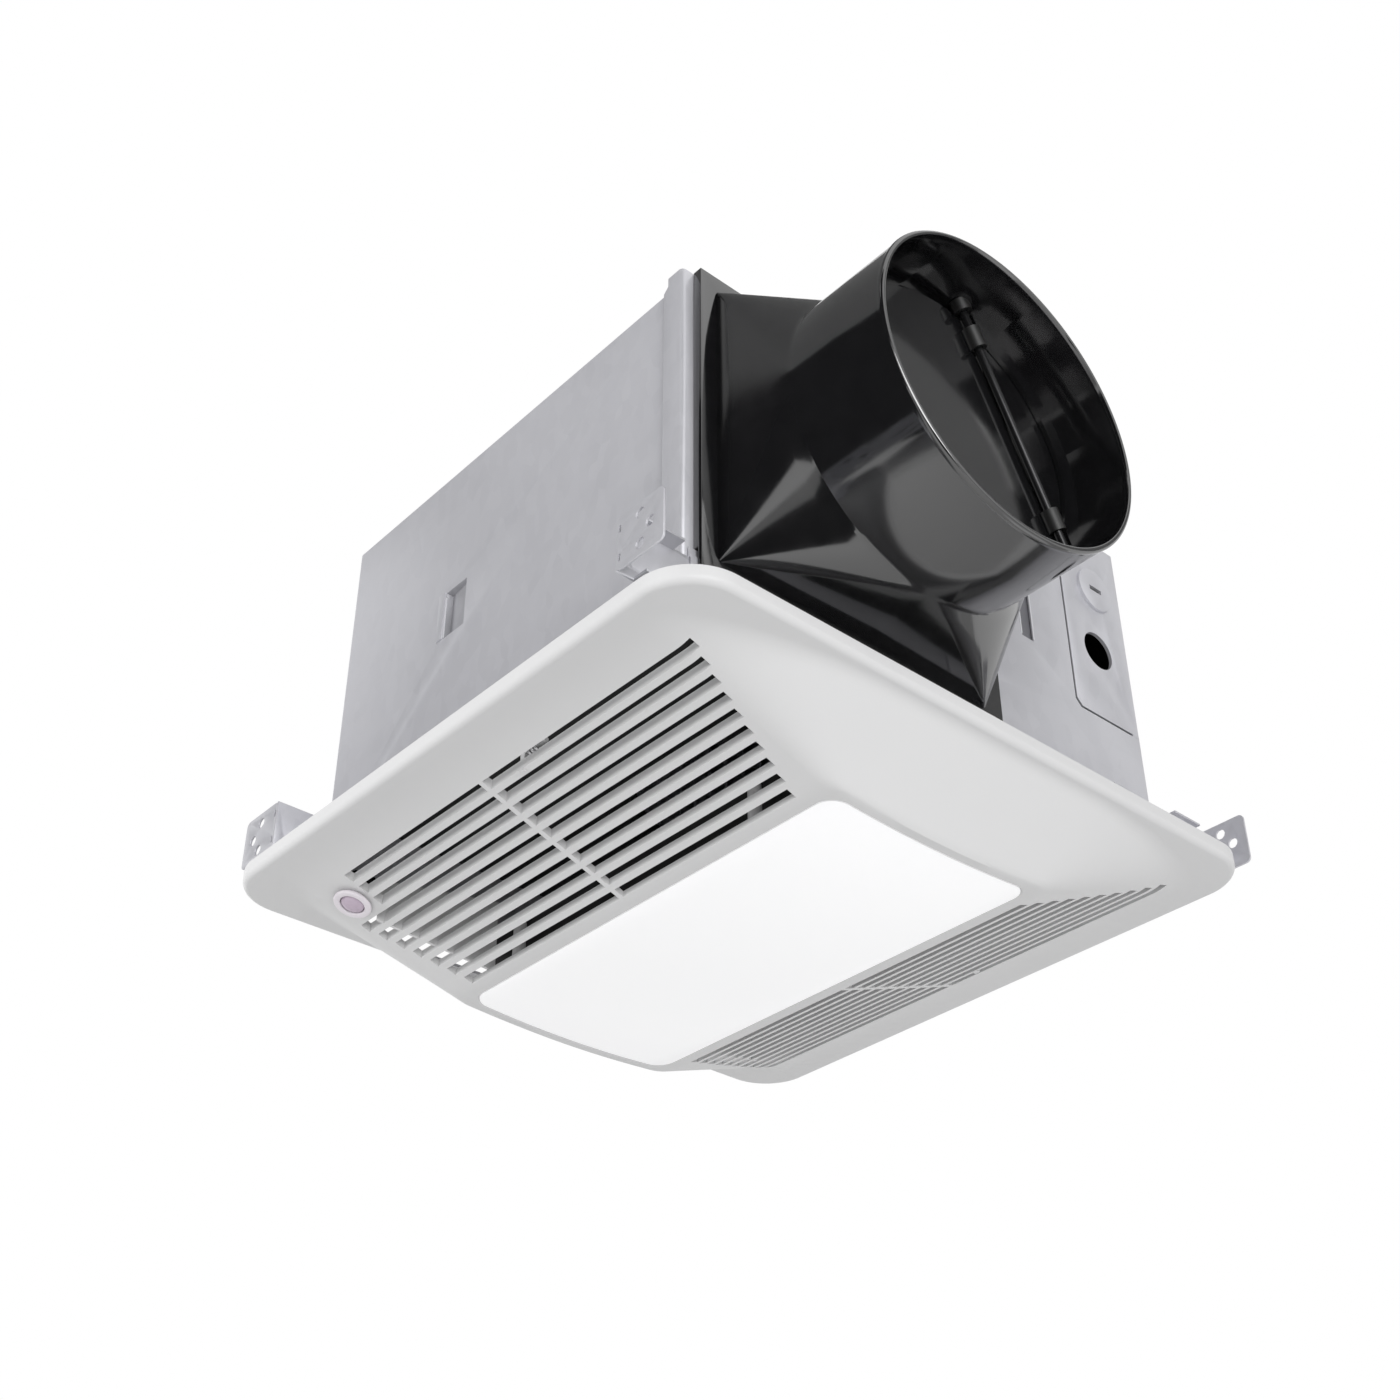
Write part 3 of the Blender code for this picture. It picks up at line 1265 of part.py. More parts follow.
def motor_screws():
    """Four screws down through the motor plate into the scroll."""
    names = ("motor_screw_1", "motor_screw_2", "motor_screw_3", "motor_screw_4")
    top = SCROLL_TOP_Z + GAP + MOTOR_PLATE_THICK
    for name, (x, y) in zip(names, motor_screw_places()):
        screw(name, (x, y, top), (0, 0, -1), length=SCREW_BITE)


def blade_outline(turn):
    """A forward-curved blade: a thin arc between the wheel's inner and outer radius."""
    middle = []
    for i in range(BLADE_STEPS + 1):
        share = i / BLADE_STEPS
        radius = WHEEL_RADIUS - GAP - BLADE_DEPTH * (1 - share)
        lead = turn + BLADE_DEPTH / WHEEL_RADIUS * share**2 * math.tan(BLADE_OUTLET_ANGLE) / 2
        lag = BLADE_DEPTH / WHEEL_RADIUS * share * (1 - share) * math.tan(BLADE_INLET_ANGLE)
        middle.append((radius, lead - lag))
    outline = []
    for side, line in ((1, middle), (-1, reversed(middle))):
        for radius, angle in line:
            angle += side * BLADE_THICK / 2 / radius
            outline.append((WHEEL_X + radius * math.cos(angle), WHEEL_Y + radius * math.sin(angle)))
    return outline


def blower_wheel(carrier):
    """Forward-curved blades between a cupped back plate and a bottom ring."""
    low, top = WHEEL_LOW_Z, WHEEL_TOP_Z
    blades = sheet(
        [blade_outline(math.tau * i / BLADES) for i in range(BLADES)],
        top - low - WHEEL_SHEET - RING_HEIGHT / 2,
        LEVEL,
        (0, 0, low + RING_HEIGHT - GAP),
    )
    floor = CUP_FLOOR_Z
    cup = [
        (WHEEL_RADIUS, top),
        (WHEEL_RADIUS, top - WHEEL_SHEET),
        (CUP_RADIUS + WHEEL_SHEET, top - WHEEL_SHEET),
        (CUP_RADIUS, floor - WHEEL_SHEET),
        (HUB_RADIUS, floor - WHEEL_SHEET),
        (HUB_RADIUS, floor - HUB_HEIGHT / 2),
        (SHAFT_RADIUS + GAP, floor - HUB_HEIGHT / 2),
        (SHAFT_RADIUS + GAP, floor + HUB_HEIGHT / 2),
        (HUB_RADIUS, floor + HUB_HEIGHT / 2),
        (HUB_RADIUS, floor),
        (CUP_RADIUS - WHEEL_SHEET, floor),
        (CUP_RADIUS, top),
    ]
    cup = [(radius, height - low) for radius, height in cup]
    ring = [
        (WHEEL_RADIUS, RING_HEIGHT),
        (WHEEL_RADIUS, 0),
        (WHEEL_RADIUS - RING_WIDTH, 0),
        (WHEEL_RADIUS - RING_WIDTH, RING_HEIGHT),
    ]
    centre = (WHEEL_X, WHEEL_Y, low)
    plates = together(turned(cup, centre, WHEEL_SIDES), turned(ring, centre, WHEEL_SIDES))
    mesh = combined(plates, joins=[blades])
    return piece("blower_wheel", mesh, GALVANISED, carrier.location, carrier)


def motor_shaft(carrier):
    """The shaft from inside the motor down through the hub."""
    mesh = rod((WHEEL_X, WHEEL_Y, SHAFT_LOW_Z), (WHEEL_X, WHEEL_Y, SHAFT_TOP_Z), SHAFT_RADIUS)
    return piece("motor_shaft", mesh, BRIGHT_STEEL, carrier.location, carrier)


def wheel_nut(carrier):
    """The six-sided nut under the hub."""
    top = CUP_FLOOR_Z - HUB_HEIGHT / 2 - GAP
    nut = rod((WHEEL_X, WHEEL_Y, top - NUT_HEIGHT), (WHEEL_X, WHEEL_Y, top), NUT_RADIUS, NUT_SIDES)
    bore = rod(
        (WHEEL_X, WHEEL_Y, top - NUT_HEIGHT - OVERRUN),
        (WHEEL_X, WHEEL_Y, top + OVERRUN),
        SHAFT_RADIUS + GAP,
    )
    mesh = combined(nut, cuts=[bore])
    return piece("wheel_nut", mesh, BRIGHT_STEEL, carrier.location, carrier, smooth=False)


def run_capacitor():
    """The motor's capacitor on the back wall, with two spade terminals."""
    wall = SIDE_WALL_Y - SHEET - GAP
    low_x, high_x = CAPACITOR_X - CAPACITOR_LENGTH / 2, CAPACITOR_X + CAPACITOR_LENGTH / 2
    top = CAPACITOR_LOW_Z + CAPACITOR_HEIGHT
    outline = rounded(low_x, wall - CAPACITOR_DEPTH, high_x, wall, BEND_RADIUS)
    body = sheet([outline], CAPACITOR_HEIGHT, LEVEL, (0, 0, CAPACITOR_LOW_Z))
    spades = []
    for side in (-1, 1):
        x = CAPACITOR_X + side * TERMINAL_SPACING / 2
        y = wall - CAPACITOR_DEPTH / 2
        spades.append(
            box(
                (x - TERMINAL_WIDTH / 2, y - TERMINAL_THICK / 2, top - SHEET),
                (x + TERMINAL_WIDTH / 2, y + TERMINAL_THICK / 2, top + TERMINAL_LENGTH),
            )
        )
    return piece("run_capacitor", combined(body, joins=[together(*spades)]), BLACK_PLASTIC)


def slope_tangent():
    """Fall of the grille's long slopes for each unit inwards."""
    return (-CROWN_Z - RIM_HEIGHT) / (BULGE_HALF_Y - CROWN_HALF_Y)


def slope_z(y):
    """Height of the outer surface of the long slopes."""
    return -RIM_HEIGHT - (BULGE_HALF_Y - abs(y)) * slope_tangent()


def grille_ring(half_x, half_y, corner_x, corner_y, z, arched=False):
    """A rounded rectangle of matching points, arched along Y at the crown if asked."""
    points = []
    quarters = ((1, 1), (-1, 1), (-1, -1), (1, -1))
    for quarter, (side_x, side_y) in enumerate(quarters):
        for i in range(CORNER_STEPS + 1):
            angle = math.pi / 2 * (quarter + i / CORNER_STEPS)
            x = side_x * (half_x - corner_x) + corner_x * math.cos(angle)
            y = side_y * (half_y - corner_y) + corner_y * math.sin(angle)
            points.append([x, y, z])
        if quarter in (1, 3):
            straight = half_y - corner_y
            for i in range(1, ARCH_STEPS):
                points.append([side_x * half_x, side_y * straight * (1 - 2 * i / ARCH_STEPS), z])
    if arched:
        for point in points:
            point[2] -= arch_rise(point[1])
    return [Vector(point) for point in points]


def arch_rise(y):
    """How far the light panel's arch stands below its straight edges."""
    return ARCH_SAG * max(0, 1 - (y / CROWN_HALF_Y) ** 2)


def foot_of_bulge(z):
    """The outline where the bulge meets the flat rim."""
    corner_x, corner_y = BULGE_HALF_X - CROWN_HALF_X, BULGE_HALF_Y - CROWN_HALF_Y
    return grille_ring(BULGE_HALF_X, BULGE_HALF_Y, corner_x, corner_y, z)


def crown_ring(lift, arched=True):
    """The outline where the slopes meet the light panel's frame."""
    return grille_ring(CROWN_HALF_X, CROWN_HALF_Y, CROWN_CORNER_X, CROWN_CORNER_Y, CROWN_Z + lift, arched)


def grille_skin():
    """The moulded sheet: rim, flat border, bulge and the frame round the light panel."""
    rings = [grille_ring(RIM_HALF_X, RIM_HALF_Y, RIM_CORNER, RIM_CORNER, 0)]
    for i in range(ARC_STEPS + 1):
        angle = math.pi / 2 * i / ARC_STEPS
        inset = RIM_ROUND * (1 - math.cos(angle))
        z = -RIM_HEIGHT + RIM_ROUND * (1 - math.sin(angle))
        rings.append(
            grille_ring(RIM_HALF_X - inset, RIM_HALF_Y - inset, RIM_CORNER - inset, RIM_CORNER - inset, z)
        )
    rings.append(foot_of_bulge(-RIM_HEIGHT))
    rings.append(crown_ring(0))
    opening_x, opening_y = LENS_HALF_X + GAP, LENS_HALF_Y + GAP
    rings.append(grille_ring(opening_x, opening_y, LENS_CORNER + GAP, LENS_CORNER + GAP, CROWN_Z, True))
    shape = lofted(rings)
    shape.normal_update()
    if sum(face.normal.z for face in shape.faces) > 0:
        bmesh.ops.reverse_faces(shape, faces=shape.faces)
    mesh = bpy.data.meshes.new("skin")
    shape.to_mesh(mesh)
    shape.free()
    body = tool(mesh, "skin")
    wall = body.modifiers.new("wall", "SOLIDIFY")
    wall.thickness = GRILLE_WALL
    wall.offset = -1
    wall.use_even_offset = True
    bpy.context.view_layer.update()
    graph = bpy.context.evaluated_depsgraph_get()
    solid = bpy.data.meshes.new_from_object(body.evaluated_get(graph))
    bpy.data.objects.remove(body)
    return solid


def sensor_axis():
    """The sensor's place on the slope and the direction it looks in."""
    tilt = math.atan(slope_tangent())
    return Vector((SENSOR_X, SENSOR_Y, slope_z(SENSOR_Y))), Vector((0, -math.sin(tilt), -math.cos(tilt)))


def louvre_blocks():
    """Lands behind the slopes, deepest at the outer slots, from which the slots leave blades."""
    rings = [
        foot_of_bulge(-RIM_HEIGHT + GRILLE_WALL / 2),
        crown_ring(GRILLE_WALL / 2, False),
        crown_ring(LOUVRE_INNER_DEPTH, False),
        foot_of_bulge(-RIM_HEIGHT + LOUVRE_DEPTH),
    ]
    land = mesh_of(lofted(rings, closed=True))
    half_x = SLOT_OUTER_HALF + LOUVRE_MARGIN
    low_y = SLOT_INNER_Y - SLOT_WIDTH / 2 - LOUVRE_MARGIN
    high_y = SLOT_OUTER_Y + SLOT_WIDTH / 2 + LOUVRE_MARGIN
    low_z, high_z = CROWN_Z - OVERRUN, LOUVRE_DEPTH
    banks = together(
        box((-half_x, low_y, low_z), (half_x, high_y, high_z)),
        box((-half_x, -high_y, low_z), (half_x, -low_y, high_z)),
    )
    place, facing = sensor_axis()
    pocket = rod(
        place - facing * (LOUVRE_DEPTH * 2), place + facing * OVERRUN, SENSOR_MODULE_RADIUS + LOUVRE_MARGIN,
        ROUND_SIDES,
    )
    return combined(combined(land, keep=banks), cuts=[pocket])


def slot_cutters():
    """Both banks of slots, each row split by the middle rib."""
    cutters = []
    for side in (-1, 1):
        for row in range(SLOTS):
            share = row / (SLOTS - 1)
            y = side * (SLOT_INNER_Y + (SLOT_OUTER_Y - SLOT_INNER_Y) * share)
            half = SLOT_INNER_HALF + (SLOT_OUTER_HALF - SLOT_INNER_HALF) * share
            left = -half
            if side < 0 and row >= SLOTS - SENSOR_SLOTS:
                left = SENSOR_SLOT_END
            low_z, high_z = CROWN_Z - ARCH_SAG - OVERRUN, LOUVRE_DEPTH + OVERRUN
            low_y, high_y = y - SLOT_WIDTH / 2, y + SLOT_WIDTH / 2
            for low_x, high_x in ((left, -SLOT_RIB / 2), (SLOT_RIB / 2, half)):
                cutters.append(box((low_x, low_y, low_z), (high_x, high_y, high_z)))
    return together(*cutters)


def spring_places():
    """Each spring stands on the blade beside the outermost slot, near the middle of its bank."""
    y = SLOT_OUTER_Y - SLOT_PITCH / 2
    return ((SPRING_X, -y), (SPRING_X, y))


def peg_z():
    """Height of the peg in the spring's coil."""
    return slope_z(spring_places()[0][1]) + LOUVRE_DEPTH + SPRING_COIL + 2 * SPRING_WIRE + GAP


def spring_posts():
    """A post with a peg for each spring."""
    posts = []
    for x, y in spring_places():
        low = slope_z(y) + GRILLE_WALL
        half = HOOK_POST_WIDTH / 2
        post = box(
            (x - SPRING_PITCH * SPRING_TURNS / 2 - 2 * HOOK_POST_WIDTH, y - half, low),
            (x - SPRING_PITCH * SPRING_TURNS / 2 - HOOK_POST_WIDTH, y + half, peg_z() + half),
        )
        peg = rod(
            (x - SPRING_PITCH * SPRING_TURNS / 2 - 2 * HOOK_POST_WIDTH + SHEET, y, peg_z()),
            (x + SPRING_PITCH * SPRING_TURNS / 2 + HOOK_POST_WIDTH, y, peg_z()),
            half - GAP,
            SMALL_SIDES,
        )
        posts.append(combined(post, joins=[peg]))
    return posts


def tray_boss_places():
    """Four bosses on the frame's long sides."""
    y = LENS_HALF_Y + TRAY_BOSS_RADIUS + 2 * GAP
    return [(x, side * y) for x in (-TRAY_SCREW_X, TRAY_SCREW_X) for side in (-1, 1)]


def grille(carrier):
    """The white grille with its slots, sensor hole, spring posts and screw bosses."""
    place, facing = sensor_axis()
    body = combined(grille_skin(), joins=[louvre_blocks()])
    hole = rod(place - facing * LOUVRE_DEPTH, place + facing * OVERRUN, BEZEL_NECK + GAP, ROUND_SIDES)
    bosses, bores = [], []
    for x, y in tray_boss_places():
        low, top = slope_z(abs(y) + TRAY_BOSS_RADIUS) + GAP, TRAY_FLANGE_Z - GAP
        bosses.append(rod((x, y, low), (x, y, top), TRAY_BOSS_RADIUS))
        bores.append(
            rod((x, y, top - SCREW_LENGTH - OVERRUN / 2), (x, y, top + OVERRUN), SCREW_RADIUS + GAP)
        )
    body = combined(body, cuts=[slot_cutters(), hole])
    body = combined(body, joins=[together(*bosses, *spring_posts())], cuts=[together(*bores)])
    return piece("grille", body, WHITE_PLASTIC, carrier.location, carrier)


def lens_back_z():
    """The lens's flange lies just behind the grille's frame."""
    return CROWN_Z + GRILLE_WALL + 2 * GAP + SHEET


def light_lens(carrier):
    """The arched diffuser with a pocket behind and a flange at each short end."""
    back = lens_back_z()
    section = [*arch_line(), (LENS_HALF_Y, back), (-LENS_HALF_Y, back)]
    width = 2 * LENS_HALF_X
    body = sheet([section], width, FACING_X, (-LENS_HALF_X, 0, 0))
    outline = rounded(-LENS_HALF_X, -LENS_HALF_Y, LENS_HALF_X, LENS_HALF_Y, LENS_CORNER, CORNER_STEPS)
    height = back - CROWN_Z + ARCH_SAG + 2 * OVERRUN
    prism = sheet([outline], height, LEVEL, (0, 0, CROWN_Z - ARCH_SAG - OVERRUN))
    body = combined(body, keep=prism)
    reach = LENS_HALF_X + 2 * SHEET
    straight = LENS_HALF_Y - LENS_CORNER
    flange = box((-reach, -straight, back - SHEET), (reach, straight, back))
    inner_x, inner_y = LENS_HALF_X - LENS_THICK, LENS_HALF_Y - LENS_THICK
    pocket = sheet(
        [rounded(-inner_x, -inner_y, inner_x, inner_y, LENS_CORNER - LENS_THICK)],
        back - CROWN_Z,
        LEVEL,
        (0, 0, CROWN_Z + LENS_THICK / 2),
    )
    body = combined(body, joins=[flange], cuts=[pocket])
    return piece("light_lens", body, DIFFUSER, carrier.location, carrier)


def arch_line():
    """Points along the lens's front, from one long edge to the other."""
    steps = 2 * ARCH_STEPS
    line = []
    for i in range(steps + 1):
        y = LENS_HALF_Y * (2 * i / steps - 1)
        line.append((y, CROWN_Z - arch_rise(y)))
    return line


def light_tray(carrier):
    """A folded pan over the lens, open downwards, with a flange for its screws."""
    low, top = lens_back_z() + GAP, TRAY_FLANGE_Z + SHEET
    half_x, half_y = LENS_HALF_X - TRAY_INSET, LENS_HALF_Y - TRAY_INSET
    outer = box((-half_x, -half_y, low), (half_x, half_y, top))
    inner = box(
        (-half_x + SHEET, -half_y + SHEET, low - OVERRUN), (half_x - SHEET, half_y - SHEET, top - SHEET)
    )
    edge = tray_boss_places()[-1][1] + TRAY_BOSS_RADIUS
    holes = [circle(x, y, SCREW_RADIUS + GAP) for x, y in tray_boss_places()]
    outline = rounded(-half_x, -edge, half_x, edge, BEND_RADIUS)
    flange = sheet([outline, *holes], SHEET, LEVEL, (0, 0, TRAY_FLANGE_Z))
    body = combined(combined(outer, joins=[flange]), cuts=[inner])
    return piece("light_tray", body, GALVANISED, carrier.location, carrier)


def led_board(carrier):
    """The board under the tray's top with rows of light-emitting chips."""
    half_x = LENS_HALF_X - TRAY_INSET - SHEET - BOARD_INSET
    half_y = LENS_HALF_Y - TRAY_INSET - SHEET - BOARD_INSET
    top = TRAY_FLANGE_Z - GAP
    low = top - BOARD_THICK
    plate = box((-half_x, -half_y, low), (half_x, half_y, top))
    chips = []
    size = BOARD_THICK
    for i in range(LED_COLUMNS):
        for j in range(LED_ROWS):
            x = half_x * (2 * (i + 1 / 2) / LED_COLUMNS - 1)
            y = half_y * (2 * (j + 1 / 2) / LED_ROWS - 1)
            chips.append(box((x - size, y - size, low - size / 2), (x + size, y + size, low + size / 2)))
    body = combined(plate, joins=[together(*chips)])
    return piece("led_board", body, BOARD_GREEN, carrier.location, carrier)


def led_driver(carrier):
    """The driver's closed box on top of the tray."""
    low = TRAY_FLANGE_Z + SHEET + GAP
    half_x, half_y = DRIVER_LENGTH / 2, DRIVER_WIDTH / 2
    outline = rounded(-half_x, -half_y, half_x, half_y, BEND_RADIUS)
    body = sheet([outline], DRIVER_HEIGHT, LEVEL, (0, 0, low))
    return piece("led_driver", body, GREY_PLASTIC, carrier.location, carrier)


def tray_screws(carrier):
    """Four screws down through the tray's flange into the grille's bosses."""
    names = ("tray_screw_1", "tray_screw_2", "tray_screw_3", "tray_screw_4")
    for name, (x, y) in zip(names, tray_boss_places()):
        screw(name, (x, y, TRAY_FLANGE_Z + SHEET), (0, 0, -1), carrier, head=SCREW_HEAD * 4 / 5)


def sensor(carrier):
    """The sensor's ring, its domed window and the module behind the grille."""
    place, facing = sensor_axis()
    neck = GRILLE_WALL + BEZEL_PROUD
    bore = BEZEL_NECK - BEZEL_WALL
    ring = [
        (BEZEL_RADIUS, GAP),
        (BEZEL_RADIUS, BEZEL_PROUD / 2),
        (BEZEL_RADIUS - BEZEL_PROUD / 2, BEZEL_PROUD),
        (bore, BEZEL_PROUD * 2 / 3),
        (bore, -neck),
        (BEZEL_NECK, -neck),
        (BEZEL_NECK, GAP),
    ]
    piece("sensor_bezel", turned(ring, place, ROUND_SIDES, facing), WHITE_PLASTIC, place, carrier)
    glass_radius = bore - GAP
    dome = [(0, BEZEL_PROUD * 2 / 3 + SENSOR_DOME)]
    for i in range(1, ARC_STEPS + 1):
        angle = math.pi / 2 * i / ARC_STEPS
        dome.append((glass_radius * math.sin(angle), BEZEL_PROUD * 2 / 3 + SENSOR_DOME * math.cos(angle)))
    dome += [(glass_radius, -neck), (0, -neck)]
    piece("sensor_lens", turned(dome, place, ROUND_SIDES, facing), SENSOR_GLASS, place, carrier)
    back = place - facing * (neck + GAP)
    body = rod(back, back - facing * SENSOR_MODULE_HEIGHT, SENSOR_MODULE_RADIUS, ROUND_SIDES)
    piece("sensor_module", body, BLACK_PLASTIC, place, carrier)


def torsion_springs(carrier):
    """Two springs: a coil on the grille's peg and two legs up through the bracket."""
    for name, (x, y) in zip(("torsion_spring_near", "torsion_spring_back"), spring_places()):
        z = peg_z()
        turns = SPRING_TURNS
        half = SPRING_PITCH * turns / 2
        points = [(x - SPRING_SPREAD, y, SPRING_TOP_Z)]
        count = turns * SPRING_STEPS
        for i in range(count + 1):
            angle = math.pi / 2 - math.tau * turns * i / count
            points.append(
                (
                    x - half + SPRING_PITCH * turns * i / count,
                    y + SPRING_COIL * math.cos(angle),
                    z + SPRING_COIL * math.sin(angle),
                )
            )
        points.append((x + SPRING_SPREAD, y, SPRING_TOP_Z))
        piece(name, tube(points, SPRING_WIRE, 1), BRIGHT_STEEL, (x, y, z), carrier)


def spring_brackets():
    """An angle on each long wall with a slot for each leg of the spring."""
    for name, (x, y) in zip(("spring_bracket_near", "spring_bracket_back"), spring_places()):
        side = math.copysign(1, y)
        wall = SIDE_WALL_Y - SHEET - GAP
        low_x, high_x = x - BRACKET_WIDTH / 2, x + BRACKET_WIDTH / 2
        shelf_y = sorted((side * wall, side * (wall - BRACKET_REACH)))
        coil_top = peg_z() + SPRING_COIL
        climb = (BRACKET_Z - coil_top) / (SPRING_TOP_Z - coil_top)
        start = SPRING_PITCH * SPRING_TURNS / 2
        slots = []
        for hand in (-1, 1):
            centre = x + hand * (start + (SPRING_SPREAD - start) * climb)
            low = (centre - 3 * SPRING_WIRE, y - 2 * SPRING_WIRE)
            high = (centre + 3 * SPRING_WIRE, y + 2 * SPRING_WIRE)
            slots.append(rounded(*low, *high, SPRING_WIRE, 2))
        outline = rounded(low_x, shelf_y[0], high_x, shelf_y[1], SHEET / 2, 1)
        shelf = sheet([outline, *slots], SHEET, LEVEL, (0, 0, BRACKET_Z))
        foot_y = sorted((side * wall, side * (wall - SHEET)))
        foot = box((low_x, foot_y[0], BRACKET_Z - BRACKET_FOOT), (high_x, foot_y[1], BRACKET_Z + SHEET / 2))
        piece(name, combined(foot, joins=[shelf]), GALVANISED)


def build():
    """Every piece, the box first and then what it carries."""
    housing_shell()
    duct_side_panel()
    wiring_cover()
    wiring_box()
    ground_screw()
    socket("blower_socket", BLOWER_SOCKET_Z)
    socket("light_socket", LIGHT_SOCKET_Z)
    blower_plug()
    motor_lead()
    duct_adapter()
    flap_axis = damper_pivot()
    damper_flap(flap_axis)
    damper_pin()
    damper_seal(flap_axis)
    adapter_screws()
    bar_sets()
    inlet_plate()
    inlet_screws()
    scroll_casing()
    motor_plate()
    motor_can()
    grommets()
    motor_screws()
    spin_axis = pivot("wheel_axis", (WHEEL_X, WHEEL_Y, (WHEEL_LOW_Z + WHEEL_TOP_Z) / 2))
    blower_wheel(spin_axis)
    motor_shaft(spin_axis)
    wheel_nut(spin_axis)
    run_capacitor()
    spring_brackets()
    drop = pivot("grille_drop", (0, 0, 0))
    grille(drop)
    light_lens(drop)
    light_tray(drop)
    led_board(drop)
    led_driver(drop)
    tray_screws(drop)
    sensor(drop)
    torsion_springs(drop)


build()
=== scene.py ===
# %% [markdown]
# # A bathroom exhaust fan, dressed for its picture
# The fan's solid model is loaded as a fixed frame. Every cell after this one gives a part of it
# the surface that the real thing has, or makes a finer piece in the place of a plain one.

# %% Load the frame
import json
import math

import bmesh
import bpy
import numpy as np
from mathutils import Matrix, Vector

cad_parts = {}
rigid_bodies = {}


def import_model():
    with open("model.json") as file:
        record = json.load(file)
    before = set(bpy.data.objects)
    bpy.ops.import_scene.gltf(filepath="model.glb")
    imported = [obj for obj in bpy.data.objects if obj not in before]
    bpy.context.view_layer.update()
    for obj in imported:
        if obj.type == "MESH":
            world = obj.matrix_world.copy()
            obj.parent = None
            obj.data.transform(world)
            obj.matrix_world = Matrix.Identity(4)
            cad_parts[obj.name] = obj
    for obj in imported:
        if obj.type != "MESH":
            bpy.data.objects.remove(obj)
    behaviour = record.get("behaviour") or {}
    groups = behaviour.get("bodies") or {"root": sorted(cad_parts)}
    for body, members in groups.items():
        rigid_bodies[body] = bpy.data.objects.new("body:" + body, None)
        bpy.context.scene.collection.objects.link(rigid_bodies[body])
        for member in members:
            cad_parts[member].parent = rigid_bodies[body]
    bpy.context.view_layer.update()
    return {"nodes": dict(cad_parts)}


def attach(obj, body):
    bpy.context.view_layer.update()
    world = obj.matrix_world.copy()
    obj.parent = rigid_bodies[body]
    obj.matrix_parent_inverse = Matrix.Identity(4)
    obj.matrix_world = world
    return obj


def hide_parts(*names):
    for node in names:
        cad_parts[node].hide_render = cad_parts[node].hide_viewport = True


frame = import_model()
NODES = frame["nodes"]

# %% [markdown]
# ## The camera
# The picture looks up at the fan from below, past the corner next to the duct. The numbers come
# from solving the perspective of the box's and grille's edges: where the lens stands, how far it
# is turned and how long it is. A turned camera is a matrix whose columns are its right, up and
# back directions, which is easier to keep exact than three angles.

# %% Set the camera
CAMERA_PLACE = Vector((0.57707, -0.53034, -0.44518))
CAMERA_AZIMUTH = math.radians(48.61)
CAMERA_ELEVATION = math.radians(-34.62)
CAMERA_ROLL = math.radians(-0.14)
FOCAL_PIXELS, IMAGE_PIXELS, SENSOR_WIDTH = 1950.15, 1400.0, 36.0

camera = bpy.data.objects.new("camera", bpy.data.cameras.new("camera"))
bpy.context.scene.collection.objects.link(camera)
back = Vector((
    math.sin(CAMERA_AZIMUTH) * math.cos(CAMERA_ELEVATION),
    -math.cos(CAMERA_AZIMUTH) * math.cos(CAMERA_ELEVATION),
    math.sin(CAMERA_ELEVATION),
))
level = Vector((math.cos(CAMERA_AZIMUTH), math.sin(CAMERA_AZIMUTH), 0.0))
upward = back.cross(level)
right = level * math.cos(CAMERA_ROLL) + upward * math.sin(CAMERA_ROLL)
up = upward * math.cos(CAMERA_ROLL) - level * math.sin(CAMERA_ROLL)
turn = Matrix((right, up, back)).transposed()
camera.matrix_world = Matrix.Translation(CAMERA_PLACE) @ turn.to_4x4()
camera.data.sensor_width = SENSOR_WIDTH
camera.data.lens = FOCAL_PIXELS / IMAGE_PIXELS * SENSOR_WIDTH
camera.data.clip_start = 0.01
bpy.context.scene.camera = camera
bpy.context.scene.view_settings.view_transform = "Standard"
print("lens in mm:", round(camera.data.lens, 2))

# %% [markdown]
# ## Shader nodes from plain arithmetic
# A procedural finish is a small network of nodes. Building each link by hand is long and hard to
# read, so a socket is wrapped in a class whose arithmetic adds the Math nodes: `1 - mask * 0.3`
# then reads as it would on paper. All other nodes come from one method.

# %% A socket that does arithmetic
class Value:
    """The output of a node. Plain arithmetic on it adds Math nodes."""

    def __init__(self, finish, socket):
        self.finish, self.socket = finish, socket

    def math(self, operation, first, second):
        return self.finish.math(operation, first, second)

    def __add__(self, other):
        return self.math("ADD", self, other)

    def __radd__(self, other):
        return self.math("ADD", other, self)

    def __sub__(self, other):
        return self.math("SUBTRACT", self, other)

    def __rsub__(self, other):
        return self.math("SUBTRACT", other, self)

    def __mul__(self, other):
        return self.math("MULTIPLY", self, other)

    def __rmul__(self, other):
        return self.math("MULTIPLY", other, self)

    def __pow__(self, other):
        return self.math("POWER", self, other)


